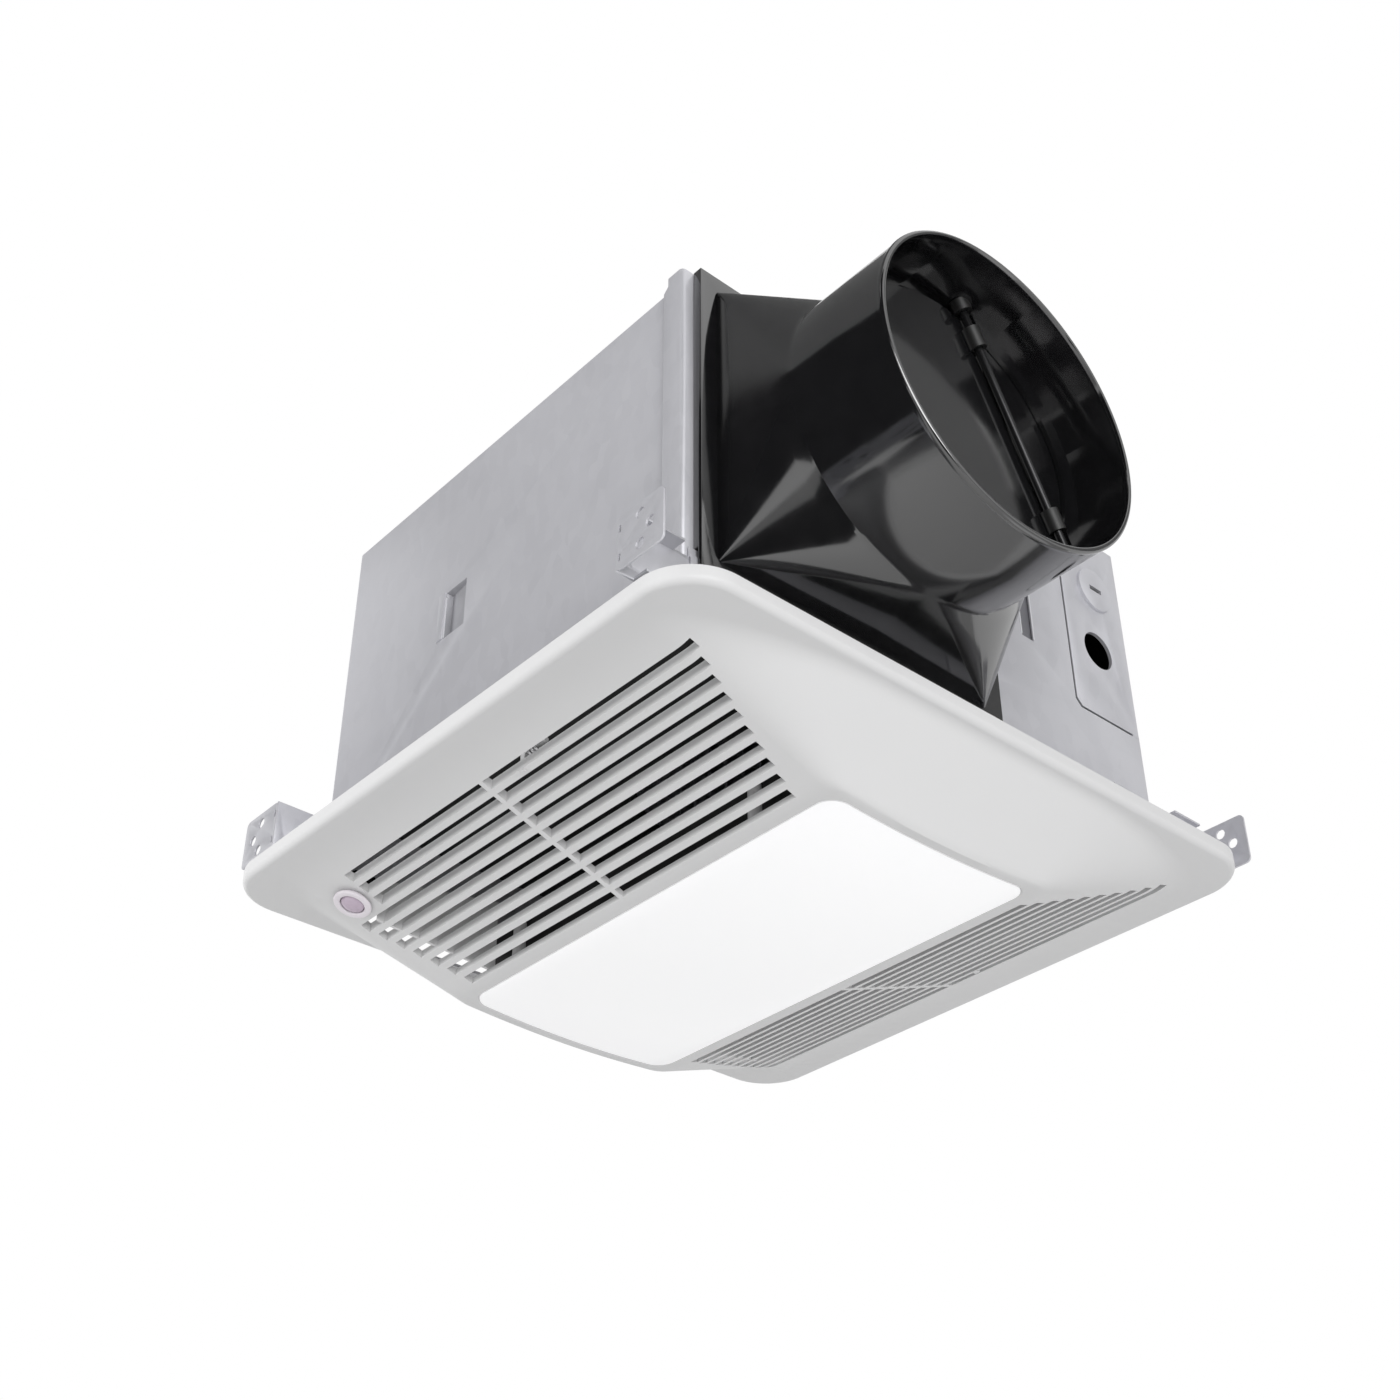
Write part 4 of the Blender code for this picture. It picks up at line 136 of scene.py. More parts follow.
# %% A finish under construction
class Finish:
    """A material with one Principled shader, and the method that adds its nodes."""

    def __init__(self, name, **constants):
        self.material = bpy.data.materials.new(name)
        self.material.use_nodes = True
        self.tree = self.material.node_tree
        self.shader = self.tree.nodes["Principled BSDF"]
        for socket, value in constants.items():
            self.shader.inputs[socket.replace("_", " ")].default_value = value
        place = self.node("ShaderNodeTexCoord")
        self.place = place["Object"]

    def put(self, target, value):
        if isinstance(value, Value):
            self.tree.links.new(value.socket, target)
        else:
            target.default_value = value

    def node(self, kind, settings=(), inputs=()):
        """Adds a node, sets it up, feeds it, and returns its outputs by name."""
        made = self.tree.nodes.new(kind)
        for key, value in dict(settings).items():
            setattr(made, key, value)
        for key, value in dict(inputs).items():
            self.put(made.inputs[key], value)
        return {out.name: Value(self, out) for out in reversed(made.outputs)}

    def math(self, operation, *inputs):
        made = self.node("ShaderNodeMath", {"operation": operation}, dict(enumerate(inputs)))
        return made["Value"]

    def ramp(self, factor, *stops):
        """A grey ramp through (place, level) stops, as one number."""
        made = self.tree.nodes.new("ShaderNodeValToRGB")
        points = made.color_ramp.elements
        while len(points) < len(stops):
            points.new(0.5)
        for point, (position, level) in zip(points, stops):
            point.position, point.color = position, (level, level, level, 1.0)
        self.put(made.inputs["Fac"], factor)
        return Value(self, made.outputs["Color"])

    def mix(self, factor, first, second):
        """One colour for factor 0 and another for factor 1."""
        made = self.tree.nodes.new("ShaderNodeMix")
        made.data_type = "RGBA"
        for index, value in ((0, factor), (6, first), (7, second)):
            self.put(made.inputs[index], (*value, 1.0) if isinstance(value, tuple) else value)
        return Value(self, made.outputs[2])

    def stretched(self, x, y, z):
        """Object coordinates, stretched: a small number makes a long pattern that way."""
        inputs = {"Vector": self.place, "Scale": (x, y, z)}
        return self.node("ShaderNodeMapping", (), inputs)["Vector"]

    def noise(self, scale, detail, where=None):
        inputs = {"Vector": where or self.place, "Scale": scale, "Detail": detail}
        return self.node("ShaderNodeTexNoise", (), inputs)["Fac"]

    def cells(self, scale, where):
        """One colour for each cell round scattered points."""
        return self.node("ShaderNodeTexVoronoi", (), {"Vector": where, "Scale": scale})["Color"]

    def lit(self, **links):
        """Feeds the shader's sockets."""
        for socket, value in links.items():
            self.put(self.shader.inputs[socket.replace("_", " ")], value)
        return self

    def bumped(self, height, distance, strength):
        inputs = {"Height": height, "Distance": distance, "Strength": strength}
        self.put(self.shader.inputs["Normal"], self.node("ShaderNodeBump", (), inputs)["Normal"])
        return self


print("helpers ready")

# %% [markdown]
# ## The studio
# A product picture has a white surround and a few large soft lamps. Gloss black plastic shows its
# whole studio like a mirror, so cards stand just out of view: black ones keep it dark, and grey
# ones leave soft light shapes on it. These are real sheets that only glossy rays see. The world
# is white wherever the camera, a gloss or a clear surface looks, and lights matt surfaces at a
# plain lower level, so that pale plastic keeps its grey. The floor lies far below, out of the
# picture, and takes the fan's shadow.

# %% The lamps
LAMPS = {
    # name: place, aims at, width, height, watts
    "side_softbox": ((1.60, -0.60, 0.02), (0.0, 0.0, 0.05), 0.9, 1.1, 16.0),
    "left_softbox": ((-0.80, -1.60, 0.35), (0.0, 0.0, 0.10), 0.9, 0.9, 22.0),
    "low_softbox": ((0.15, 0.50, -0.85), (0.0, 0.0, 0.0), 0.9, 0.9, 1.4),
}


def aimed(place, target):
    """A matrix at one point that looks at another."""
    away = Vector(place) - Vector(target)
    return Matrix.Translation(place) @ away.to_track_quat("Z", "Y").to_matrix().to_4x4()


def lamp(name, place, target, width, height, watts):
    data = bpy.data.lights.new(name, "AREA")
    data.shape, data.size, data.size_y, data.energy = "RECTANGLE", width, height, watts
    made = bpy.data.objects.new(name, data)
    made.matrix_world = aimed(place, target)
    bpy.context.scene.collection.objects.link(made)
    return made


# The left lamp would lie as a hard white shape across the black adapter.
for name, facts in LAMPS.items():
    lamp(name, *facts).visible_glossy = name != "left_softbox"
print("lamps:", ", ".join(LAMPS))

# %% The cards
CARDS = {
    # name: place, aims at, width, height, grey
    "left_card": ((-0.550, -1.100, 0.400), (0.15, -0.10, 0.10), 1.75, 2.42, 0.010),
    "back_card": ((0.874, -0.723, -0.685), (0.155, -0.13, 0.07), 0.70, 0.70, 0.010),
    "top_card": ((-0.30, -0.30, 1.30), (0.10, -0.05, 0.10), 1.60, 1.20, 0.22),
    "front_card": ((0.428, -1.224, 0.415), (0.155, -0.13, 0.07), 0.95, 1.40, 0.010),
    "far_card": ((1.02, 1.25, 0.95), (0.20, -0.05, 0.10), 0.80, 1.30, 0.34),
    "corner_card": ((0.93, -0.84, 1.02), (0.14, -0.13, 0.10), 0.90, 1.15, 0.010),
}


def felt(name, grey):
    made = Finish(name, Roughness=0.9, Specular_IOR_Level=0.1)
    fibres = made.noise(40.0, detail=3.0)
    return made.lit(Base_Color=made.mix(fibres, (grey * 0.8,) * 3, (grey * 1.2,) * 3)).material


def flat_sheet(name, matrix, width, height, finish):
    """A sheet of one face, at the place and turn of a matrix."""
    grid = bmesh.new()
    bmesh.ops.create_grid(grid, x_segments=1, y_segments=1, size=0.5)
    bmesh.ops.scale(grid, verts=grid.verts, vec=(width, height, 1.0))
    bmesh.ops.transform(grid, verts=grid.verts, matrix=matrix)
    made = bpy.data.objects.new(name, bpy.data.meshes.new(name))
    grid.to_mesh(made.data)
    grid.free()
    made.data.materials.append(finish)
    bpy.context.scene.collection.objects.link(made)
    return made


def reflected_card(name, place, target, width, height, grey):
    """A card that only glossy rays see: it darkens a reflection and shades nothing."""
    card = flat_sheet(name, aimed(place, target), width, height, felt(name, grey))
    card.visible_camera = card.visible_diffuse = False
    card.visible_shadow = card.visible_transmission = False


for name, facts in CARDS.items():
    reflected_card(name, *facts)
print("cards:", ", ".join(CARDS))

# %% The floor and the world
FLOOR_Z, FLOOR_SIDE, MATT_LEVEL = -0.95, 6.0, 0.52

floor_finish = Finish("pale_floor", Roughness=0.8)
patches = floor_finish.noise(3.0, detail=3.0)
floor_finish.lit(Base_Color=floor_finish.mix(patches, (0.84, 0.84, 0.84), (0.88, 0.88, 0.88)))
floor_place = Matrix.Translation((0.0, 0.0, FLOOR_Z))
floor = flat_sheet("floor", floor_place, FLOOR_SIDE, FLOOR_SIDE, floor_finish.material)

world = bpy.data.worlds.new("white_surround")
bpy.context.scene.world = world
world.use_nodes = True
links, nodes = world.node_tree.links, world.node_tree.nodes
background = nodes["Background"]
background.inputs["Color"].default_value = (1.0, 1.0, 1.0, 1.0)
path = nodes.new("ShaderNodeLightPath")
seen = nodes.new("ShaderNodeMath")
seen.operation = "ADD"
links.new(path.outputs["Is Camera Ray"], seen.inputs[0])
links.new(path.outputs["Is Glossy Ray"], seen.inputs[1])
clear = nodes.new("ShaderNodeMath")
clear.operation, clear.use_clamp = "ADD", True
links.new(seen.outputs[0], clear.inputs[0])
links.new(path.outputs["Is Transmission Ray"], clear.inputs[1])
strength = nodes.new("ShaderNodeMapRange")
strength.inputs["To Min"].default_value = MATT_LEVEL
links.new(clear.outputs[0], strength.inputs["Value"])
links.new(strength.outputs["Result"], background.inputs["Strength"])
print("floor at", FLOOR_Z, "and the world's level for matt surfaces:", MATT_LEVEL)

# %% [markdown]
# ## Galvanised sheet
# Zinc on sheet steel grows in flat crystals, the spangle, a few millimetres across. Each reflects
# a little lighter or darker, and the rolling of the sheet draws all of it out into soft streaks.
# An image would repeat and blur, so cells and stretched noise make it at its real size. Inside,
# the box's sheet gets painted shade: a dull near-black colour in place of the zinc. How far a
# point lies from the box's middle, along each axis, tells the inside of the sheet from its outside.

# %% Galvanised sheet
BOX_MIDDLE, SHADE_HALF = (0.00365, 0.0, 0.0), (0.12560, 0.14385, 0.18210)
ZINC_METAL = 0.45


def galvanised(name, dark=(0.54, 0.54, 0.575), light=(0.675, 0.675, 0.71), coated=False):
    made = Finish(name, Metallic=ZINC_METAL)
    spangle = made.cells(170.0, made.stretched(1.0, 1.0, 0.55))
    spangle = made.ramp(spangle, (0.1, 0.0), (0.9, 1.0))
    clouds = made.noise(16.0, detail=3.0, where=made.stretched(1.0, 1.0, 0.35))
    streaks = made.noise(60.0, detail=4.0, where=made.stretched(0.12, 0.12, 1.0))
    scuffs = made.noise(240.0, detail=5.0, where=made.stretched(0.05, 0.05, 1.0))
    scuffs = made.ramp(scuffs, (0.62, 0.0), (0.78, 1.0))
    tone = spangle * 0.22 + clouds * 0.62 + streaks * 0.34 - 0.08
    zinc = made.mix(tone, dark, light)
    polish = tone * 0.16 + scuffs * 0.08 + 0.30
    # Painted shade: inside the box, the zinc gives way to a dull near-black colour.
    if coated:
        apart = made.node("ShaderNodeSeparateXYZ", (), {"Vector": made.place})
        inside = 1.0
        for axis, middle, reach in zip("XYZ", BOX_MIDDLE, SHADE_HALF):
            away = made.math("ABSOLUTE", apart[axis] - middle)
            inside = made.math("LESS_THAN", away, reach) * inside
        shade_colour = made.mix(tone, (0.012, 0.012, 0.012), (0.024, 0.024, 0.024))
        zinc = made.mix(inside, zinc, shade_colour)
        made.lit(Metallic=ZINC_METAL - inside * ZINC_METAL)
        polish = polish + inside * 0.52
    made.lit(Base_Color=zinc, Roughness=polish)
    return made.bumped(spangle * 0.6 + scuffs * 0.4, 0.00002, 0.5).material


# %% [markdown]
# ## Gloss black plastic
# The duct adapter and its flap are injection moulded, with a polished mould that leaves sharp
# reflections. Real gloss parts still wave a little and gather fine dust. A dark colour with a low
# roughness would do from afar, but it looks like glass close by, so slow noise bends the
# reflections and fine noise dulls them in specks.

# %% Gloss black plastic
def gloss_black(name):
    made = Finish(name, IOR=2.15)
    waves = made.noise(14.0, detail=1.0)
    haze = made.noise(90.0, detail=3.0)
    dust = made.ramp(made.noise(900.0, detail=2.0), (0.60, 0.0), (0.75, 1.0))
    tone = haze * 0.7 + dust * 0.3
    made.lit(
        Base_Color=made.mix(tone, (0.004, 0.004, 0.0045), (0.011, 0.011, 0.012)),
        Roughness=haze * 0.06 + dust * 0.03 + 0.075,
    )
    return made.bumped(waves + haze * 0.02, 0.0004, 0.25).material


# %% [markdown]
# ## White plastic
# The grille is moulded in a white with a fine satin grain. It is nearly one colour, so the detail
# is in its roughness, a hair of cloudiness, and a bump of a few hundredths of a millimetre.

# %% White plastic
def satin_white(name):
    made = Finish(name, IOR=1.46)
    clouds = made.noise(9.0, detail=2.0)
    grain = made.noise(1400.0, detail=2.0)
    tone = clouds * 0.7 + grain * 0.3
    made.lit(
        Base_Color=made.mix(tone, (0.62, 0.62, 0.625), (0.67, 0.67, 0.672)),
        Roughness=grain * 0.10 + clouds * 0.06 + 0.38,
    )
    return made.bumped(grain, 0.00003, 0.4).material


# %% [markdown]
# ## The lit diffuser
# The lens is opal plastic with a board of small lamps behind it, and it is lit in the picture. It
# gives out its own even white, a touch less towards its edges. Lamps behind a clear material would
# be truer, but they need far more samples to look smooth, so the surface glows by itself.

# %% The lit diffuser
LENS_HALF = (0.1209, 0.0589)


def opal_lit(name):
    made = Finish(name, Emission_Strength=0.215)
    apart = made.node("ShaderNodeSeparateXYZ", (), {"Vector": made.place})
    across, along = apart["X"] * (1.0 / LENS_HALF[0]), apart["Y"] * (1.0 / LENS_HALF[1])
    rim = (across * across) ** 4.0 + (along * along) ** 4.0
    grain = made.noise(1100.0, detail=2.0)
    made.lit(
        Emission_Color=made.mix(rim * 0.5, (1.0, 1.0, 1.0), (0.93, 0.93, 0.945)),
        Base_Color=made.mix(grain, (0.84, 0.84, 0.85), (0.88, 0.88, 0.885)),
        Roughness=grain * 0.08 + 0.30,
    )
    return made.bumped(grain, 0.00002, 0.3).material


# %% [markdown]
# ## The small finishes
# The parts inside are plain: plated screws, a dark painted motor, rubber, a green board and grey
# mouldings. Each could have a function of its own, but they differ only in their numbers, so one
# function makes them all from a table of two tones, a grain size, a roughness and a metal share.

# %% The small finishes
EVEN_GRAIN, DRAWN_GRAIN = (1.0, 1.0, 1.0), (1.0, 1.0, 0.2)


def two_tone(name, low, high, grain, rough, metal=0.0, stretch=EVEN_GRAIN):
    made = Finish(name, Metallic=metal)
    where = made.stretched(*stretch)
    fine = made.noise(grain, detail=3.0, where=where)
    broad = made.noise(grain * 0.12, detail=2.0, where=where)
    made.lit(
        Base_Color=made.mix(fine * 0.5 + broad * 0.5, low, high),
        Roughness=fine * 0.12 + broad * 0.08 + (rough - 0.10),
    )
    return made.bumped(fine, 0.00003, 0.4).material


SMALL_FINISHES = {
    # name: dark tone, light tone, grain, roughness, metal share, stretch of the grain
    "bright_steel": ((0.50, 0.50, 0.51), (0.66, 0.66, 0.67), 500.0, 0.30, 1.0, DRAWN_GRAIN),
    "sensor_glass": ((0.42, 0.34, 0.42), (0.57, 0.48, 0.57), 500.0, 0.14),
    "board_green": ((0.02, 0.12, 0.05), (0.04, 0.18, 0.08), 400.0, 0.42),
    "black_rubber": ((0.014, 0.014, 0.014), (0.030, 0.030, 0.030), 800.0, 0.70),
    "dark_steel": ((0.07, 0.07, 0.075), (0.12, 0.12, 0.125), 600.0, 0.45, 0.8),
    "blackened_steel": ((0.012, 0.012, 0.013), (0.025, 0.025, 0.026), 600.0, 0.22, 0.6,
                        DRAWN_GRAIN),
    "matt_black": ((0.010, 0.010, 0.010), (0.022, 0.022, 0.022), 700.0, 0.60),
    "satin_black": ((0.005, 0.005, 0.005), (0.011, 0.011, 0.011), 700.0, 0.45),
    "bezel_white": ((0.70, 0.66, 0.70), (0.78, 0.74, 0.78), 900.0, 0.35),
    "grey_plastic": ((0.26, 0.26, 0.27), (0.33, 0.33, 0.34), 900.0, 0.50),
    "green_paint": ((0.015, 0.20, 0.06), (0.03, 0.27, 0.08), 500.0, 0.35, 0.3),
}
FINISHES = {
    "galvanised": galvanised("galvanised"),
    "coated_inside": galvanised("coated_inside", coated=True),
    # Painted shade: a darker zinc for the window's pocket.
    "pressed_zinc": galvanised("pressed_zinc", (0.40, 0.40, 0.425), (0.50, 0.50, 0.525)),
    "shaded_zinc": galvanised("shaded_zinc", (0.19, 0.19, 0.21), (0.25, 0.25, 0.27)),
    # Painted highlight: a bright zinc for the strips along lit edges.
    "cut_edge": galvanised("cut_edge", (0.82, 0.82, 0.85), (0.92, 0.92, 0.95)),
    "black_plastic": gloss_black("gloss_black"),
    "white_plastic": satin_white("satin_white"),
    "diffuser": opal_lit("opal_lit"),
}
FINISHES.update({name: two_tone(name, *facts) for name, facts in SMALL_FINISHES.items()})
print("finishes:", ", ".join(FINISHES))

# %% [markdown]
# ## Dress the frame's own nodes
# Each node of the frame comes with a plain slot named for its finish. The finished materials take
# those slots over, which keeps the meshes as they are. Sheet parts inside the box get near-black
# finishes instead of their bare zinc, as painted shade for the dark interior seen through slots and
# holes.

# %% Give every node its finish
PAINTED = {
    # Painted shade: parts inside the box are near black so that the interior stays dark.
    "inlet_plate": "matt_black",
    "wiring_box": "matt_black",
    "light_tray": "matt_black",
    "housing_shell": "coated_inside",
    "duct_side_panel": "coated_inside",
    "sensor_bezel": "bezel_white",
}
PLAIN_SLOTS = {}
for name, node in NODES.items():
    for place in node.material_slots:
        PLAIN_SLOTS[name] = place.material.name.split(".")[0]
        place.material = FINISHES[PAINTED.get(name, PLAIN_SLOTS[name])]
    print(name, [place.material.name for place in node.material_slots])

# %% [markdown]
# ## Tools for new pieces
# Smooth mouldings start as one closed outline that is extruded from ring to ring, and each new
# ring is moved to its place. Sculpting would not keep the sizes, and typing faces by hand is easy
# to get wrong, so bmesh operators do the joining.

# %% Outlines and skins
WHOLE_TURN = math.tau
QUARTER = math.pi / 2


def rounded_ring(half_x, half_y, corner_x, corner_y, corner_steps, side_steps):
    """Points round a rectangle with elliptical corners, starting at its +X side's upper corner."""
    points = []
    for quarter, (side_x, side_y) in enumerate(((1, 1), (-1, 1), (-1, -1), (1, -1))):
        for i in range(corner_steps + 1):
            angle = QUARTER * (quarter + i / corner_steps)
            points.append((side_x * (half_x - corner_x) + corner_x * math.cos(angle),
                           side_y * (half_y - corner_y) + corner_y * math.sin(angle)))
        straight_x, straight_y = half_x - corner_x, half_y - corner_y
        for i in range(1, side_steps):
            run = 1 - 2 * i / side_steps
            points.append(((straight_x * run, half_y), (-half_x, straight_y * run),
                           (-straight_x * run, -half_y), (half_x, -straight_y * run))[quarter])
    return points


def lofted(rings, ends="bridged"):
    """A skin through rings of matching points, with its ends bridged to each other or filled."""
    shape = bmesh.new()
    bmesh.ops.create_circle(shape, segments=len(rings[0]), radius=1.0)
    verts, edges = list(shape.verts), list(shape.edges)
    first = list(edges)
    for vert, point in zip(verts, rings[0]):
        vert.co = point
    for ring in rings[1:]:
        made = bmesh.ops.extrude_edge_only(shape, edges=edges)["geom"]
        fresh = {item for item in made if isinstance(item, bmesh.types.BMVert)}
        edges = [item for item in made if isinstance(item, bmesh.types.BMEdge)
                 and item.verts[0] in fresh and item.verts[1] in fresh]
        verts = [next(edge.other_vert(vert) for edge in vert.link_edges
                      if edge.other_vert(vert) in fresh) for vert in verts]
        for vert, point in zip(verts, ring):
            vert.co = point
    if ends == "bridged":
        bmesh.ops.bridge_loops(shape, edges=first + edges)
    else:
        bmesh.ops.holes_fill(shape, edges=first + edges, sides=0)
    bmesh.ops.recalc_face_normals(shape, faces=shape.faces)
    return shape


# %% Blocks and bars
def block(shape, low, high):
    """Adds a box from one corner to the other."""
    made = bmesh.ops.create_cube(shape, size=1.0)["verts"]
    size, middle = Vector(high) - Vector(low), (Vector(high) + Vector(low)) / 2
    bmesh.ops.scale(shape, verts=made, vec=size)
    bmesh.ops.translate(shape, verts=made, vec=middle)
    return made


def bar(shape, start, end, radius, sides):
    """Adds a round bar from one point to another."""
    start, end = Vector(start), Vector(end)
    made = bmesh.ops.create_cone(shape, cap_ends=True, segments=sides, radius1=radius,
                                 radius2=radius, depth=(end - start).length)["verts"]
    turned = (end - start).to_track_quat("Z", "Y").to_matrix().to_4x4()
    bmesh.ops.transform(shape, verts=made, matrix=Matrix.Translation((start + end) / 2) @ turned)


# %% Finished pieces and carving
def piece(name, shape, finish, body, replaced=(), smooth_below=35.0):
    """Turns a bmesh into a finished piece that rides on a body and stands for CAD nodes."""
    made = bpy.data.objects.new(name, bpy.data.meshes.new(name))
    shape.to_mesh(made.data)
    shape.free()
    made.data.shade_smooth()
    made.data.set_sharp_from_angle(angle=math.radians(smooth_below))
    made.data.materials.append(FINISHES[finish])
    bpy.context.scene.collection.objects.link(made)
    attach(made, body)
    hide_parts(*replaced)
    print(name, "has", len(made.data.polygons), "faces")


def carved(target, cutter):
    """The target bmesh with the cutter taken away, as a new bmesh."""
    bodies = []
    for shape in (target, cutter):
        mesh = bpy.data.meshes.new("carving")
        shape.to_mesh(mesh)
        shape.free()
        bodies.append(bpy.data.objects.new("carving", mesh))
        bpy.context.scene.collection.objects.link(bodies[-1])
    knife = bodies[0].modifiers.new("knife", "BOOLEAN")
    knife.object, knife.operation, knife.solver = bodies[1], "DIFFERENCE", "EXACT"
    graph = bpy.context.evaluated_depsgraph_get()
    done = bmesh.new()
    done.from_mesh(bodies[0].evaluated_get(graph).to_mesh())
    for body in bodies:
        bpy.data.objects.remove(body)
    return done


# %% [markdown]
# ## The grille
# One white moulding: a rounded rim, slopes that swell down to a frame round the light, and ten
# slots on each side with blades between them. The slopes start and end softly. A subdivision
# surface would round them too, but it would pull the rim off its size, so the rings follow an
# easing curve instead, and the slots are carved last with crisp edges.

# %% The grille's sizes
RIM_HALF = (0.16325, 0.17307)
RIM_CORNER, RIM_HEIGHT, RIM_ROUND = 0.026, 0.0075, 0.0032
BULGE_HALF = (0.1595, 0.164)
CROWN_HALF = (0.126, 0.0605)
CROWN_CORNER = (0.0045, 0.0060)
CROWN_Z, ARCH_SAG = -0.0396, 0.0028
LENS_CORNER, LENS_GAP = 0.009, 0.0003
WALL, OPENING_BREAK, WALL_BREAK = 0.0024, 0.0005, 0.001
DEPTH_SHARES, DEPTHS = (0.0, 0.12, 0.40, 0.91, 1.0), (0.0024, 0.0044, 0.0049, 0.0030, 0.0024)
CORNER_STEPS, SIDE_STEPS, SLOPE_STEPS = 20, 14, 22
FOOT_SOFT, CROWN_SOFT = 0.16, 0.06


def eased(share):
    """Height along the slope: a straight run with a soft start and a soft end."""
    total = 1.0 - FOOT_SOFT / 2 - CROWN_SOFT / 2
    if share < FOOT_SOFT:
        return share * share / (2 * FOOT_SOFT) / total
    if share > 1 - CROWN_SOFT:
        left = 1 - share
        return 1 - left * left / (2 * CROWN_SOFT) / total
    return (share - FOOT_SOFT / 2) / total


def arch(y):
    """How far the crown bows down, at a distance from the grille's middle line."""
    return ARCH_SAG * max(0.0, 1 - (y / CROWN_HALF[1]) ** 2)


def slope_ring(share, lift=0.0):
    """The outline part of the way from the foot of the bulge to its crown."""
    foot_corner = BULGE_HALF[0] - CROWN_HALF[0], BULGE_HALF[1] - CROWN_HALF[1]
    foot = rounded_ring(*BULGE_HALF, *foot_corner, CORNER_STEPS, SIDE_STEPS)
    crown = rounded_ring(*CROWN_HALF, *CROWN_CORNER, CORNER_STEPS, SIDE_STEPS)
    height = eased(share)
    ring = []
    for (foot_x, foot_y), (crown_x, crown_y) in zip(foot, crown):
        z = -RIM_HEIGHT + (CROWN_Z + RIM_HEIGHT) * height - arch(crown_y) * share**3 + lift
        ring.append((foot_x + (crown_x - foot_x) * share, foot_y + (crown_y - foot_y) * share, z))
    return ring


def rim_ring(inset, z):
    corner = RIM_CORNER - inset
    points = rounded_ring(RIM_HALF[0] - inset, RIM_HALF[1] - inset, corner, corner,
                          CORNER_STEPS, SIDE_STEPS)
    return [(x, y, z) for x, y in points]


def opening_ring(margin, lift):
    corner = LENS_CORNER + margin
    points = rounded_ring(LENS_HALF[0] + margin, LENS_HALF[1] + margin, corner, corner,
                          CORNER_STEPS, SIDE_STEPS)
    return [(x, y, CROWN_Z + lift - arch(y)) for x, y in points]


print("grille in mm:", [round(2000 * half, 1) for half in RIM_HALF])

# %% The grille's skin
rings = [rim_ring(0.0, 0.0)]
ROUND_STEPS = 7
for i in range(ROUND_STEPS + 1):
    angle = QUARTER * i / ROUND_STEPS
    rings.append(rim_ring(RIM_ROUND * (1 - math.cos(angle)),
                          -RIM_HEIGHT + RIM_ROUND * (1 - math.sin(angle))))
rings += [slope_ring(i / SLOPE_STEPS) for i in range(SLOPE_STEPS + 1)]
rings += [opening_ring(LENS_GAP + OPENING_BREAK, 0.0), opening_ring(LENS_GAP, OPENING_BREAK),
          opening_ring(LENS_GAP, WALL)]
for i in range(SLOPE_STEPS, -1, -1):
    share = i / SLOPE_STEPS
    rings.append(slope_ring(share, float(np.interp(share, DEPTH_SHARES, DEPTHS))))
rings += [rim_ring(WALL + WALL_BREAK, -RIM_HEIGHT + WALL),
          rim_ring(WALL, -RIM_HEIGHT + WALL + WALL_BREAK), rim_ring(WALL, 0.0)]
skin = lofted(rings)
print("faces of the skin before its slots:", len(skin.faces))

# %% [markdown]
# The slots run along the grille in two banks, and a thin rib crosses each bank in the middle. The
# three outer slots beside the sensor stop short of it. Each slot could be an inset face pushed
# through, but the skin curves under them, so one boolean with a set of straight knives is cleaner.

# %% The slots
SLOTS, SLOT_WIDTH, MID_RIB = 10, 0.005, 0.0025
SLOT_NEAR, SLOT_FAR = (0.06965, 0.109), (0.1415, 0.133)
SENSOR_SLOTS, SENSOR_SLOT_END = 3, -0.1035
SLOT_LOW, SLOT_HIGH = -0.046, 0.009

knives = bmesh.new()
for side in (-1, 1):
    for row in range(SLOTS):
        share = row / (SLOTS - 1)
        y = side * (SLOT_NEAR[0] + (SLOT_FAR[0] - SLOT_NEAR[0]) * share)
        half = SLOT_NEAR[1] + (SLOT_FAR[1] - SLOT_NEAR[1]) * share
        left = SENSOR_SLOT_END if side < 0 and row >= SLOTS - SENSOR_SLOTS else -half
        for low_x, high_x in ((left, -MID_RIB / 2), (MID_RIB / 2, half)):
            block(knives, (low_x, y - SLOT_WIDTH / 2, SLOT_LOW),
                  (high_x, y + SLOT_WIDTH / 2, SLOT_HIGH))

SENSOR_PLACE = Vector((-0.1141, -0.132, -0.01742))
slope = math.atan((-CROWN_Z - RIM_HEIGHT) / (BULGE_HALF[1] - CROWN_HALF[1]))
SENSOR_FACING = Vector((0.0, -math.sin(slope), -math.cos(slope)))
SENSOR_HOLE_R, SENSOR_REACH = 0.0075, SENSOR_FACING * 0.02
bar(knives, SENSOR_PLACE - SENSOR_REACH, SENSOR_PLACE + SENSOR_REACH, SENSOR_HOLE_R, 48)
moulding = carved(skin, knives)
print("faces of the skin with its slots:", len(moulding.faces))

# %% [markdown]
# Behind the skin stand four bosses for the light tray's screws, two posts with pegs for the
# springs and two thin ribs near the slots' left ends. They are inside the moulding's own box, so
# they are joined to the same piece.

# %% Bosses and spring posts
TRAY_BOSSES = [(x, y) for x in (-0.080, 0.080) for y in (-0.0625, 0.0625)]
TRAY_BOSS_Z, TRAY_BOSS_R = (-0.0365, -0.0169), 0.003
SPRING_PLACES = [(0.030, -0.13751), (0.030, 0.13751)]
PEG_X, PEG_Z, PEG_R = (-0.0083, 0.0063), -0.0049, 0.0012
POST_X, POST_Z, POST_HALF = (-0.0093, -0.0064), (-0.0145, PEG_Z + 0.0015), 0.0014
SIDE_RIB_ENDS = ((-0.0965, 0.0640), (-0.1150, 0.1180))
SIDE_RIB_HALF, SIDE_RIB_LOW = 0.0008, (-0.036, -0.0205)

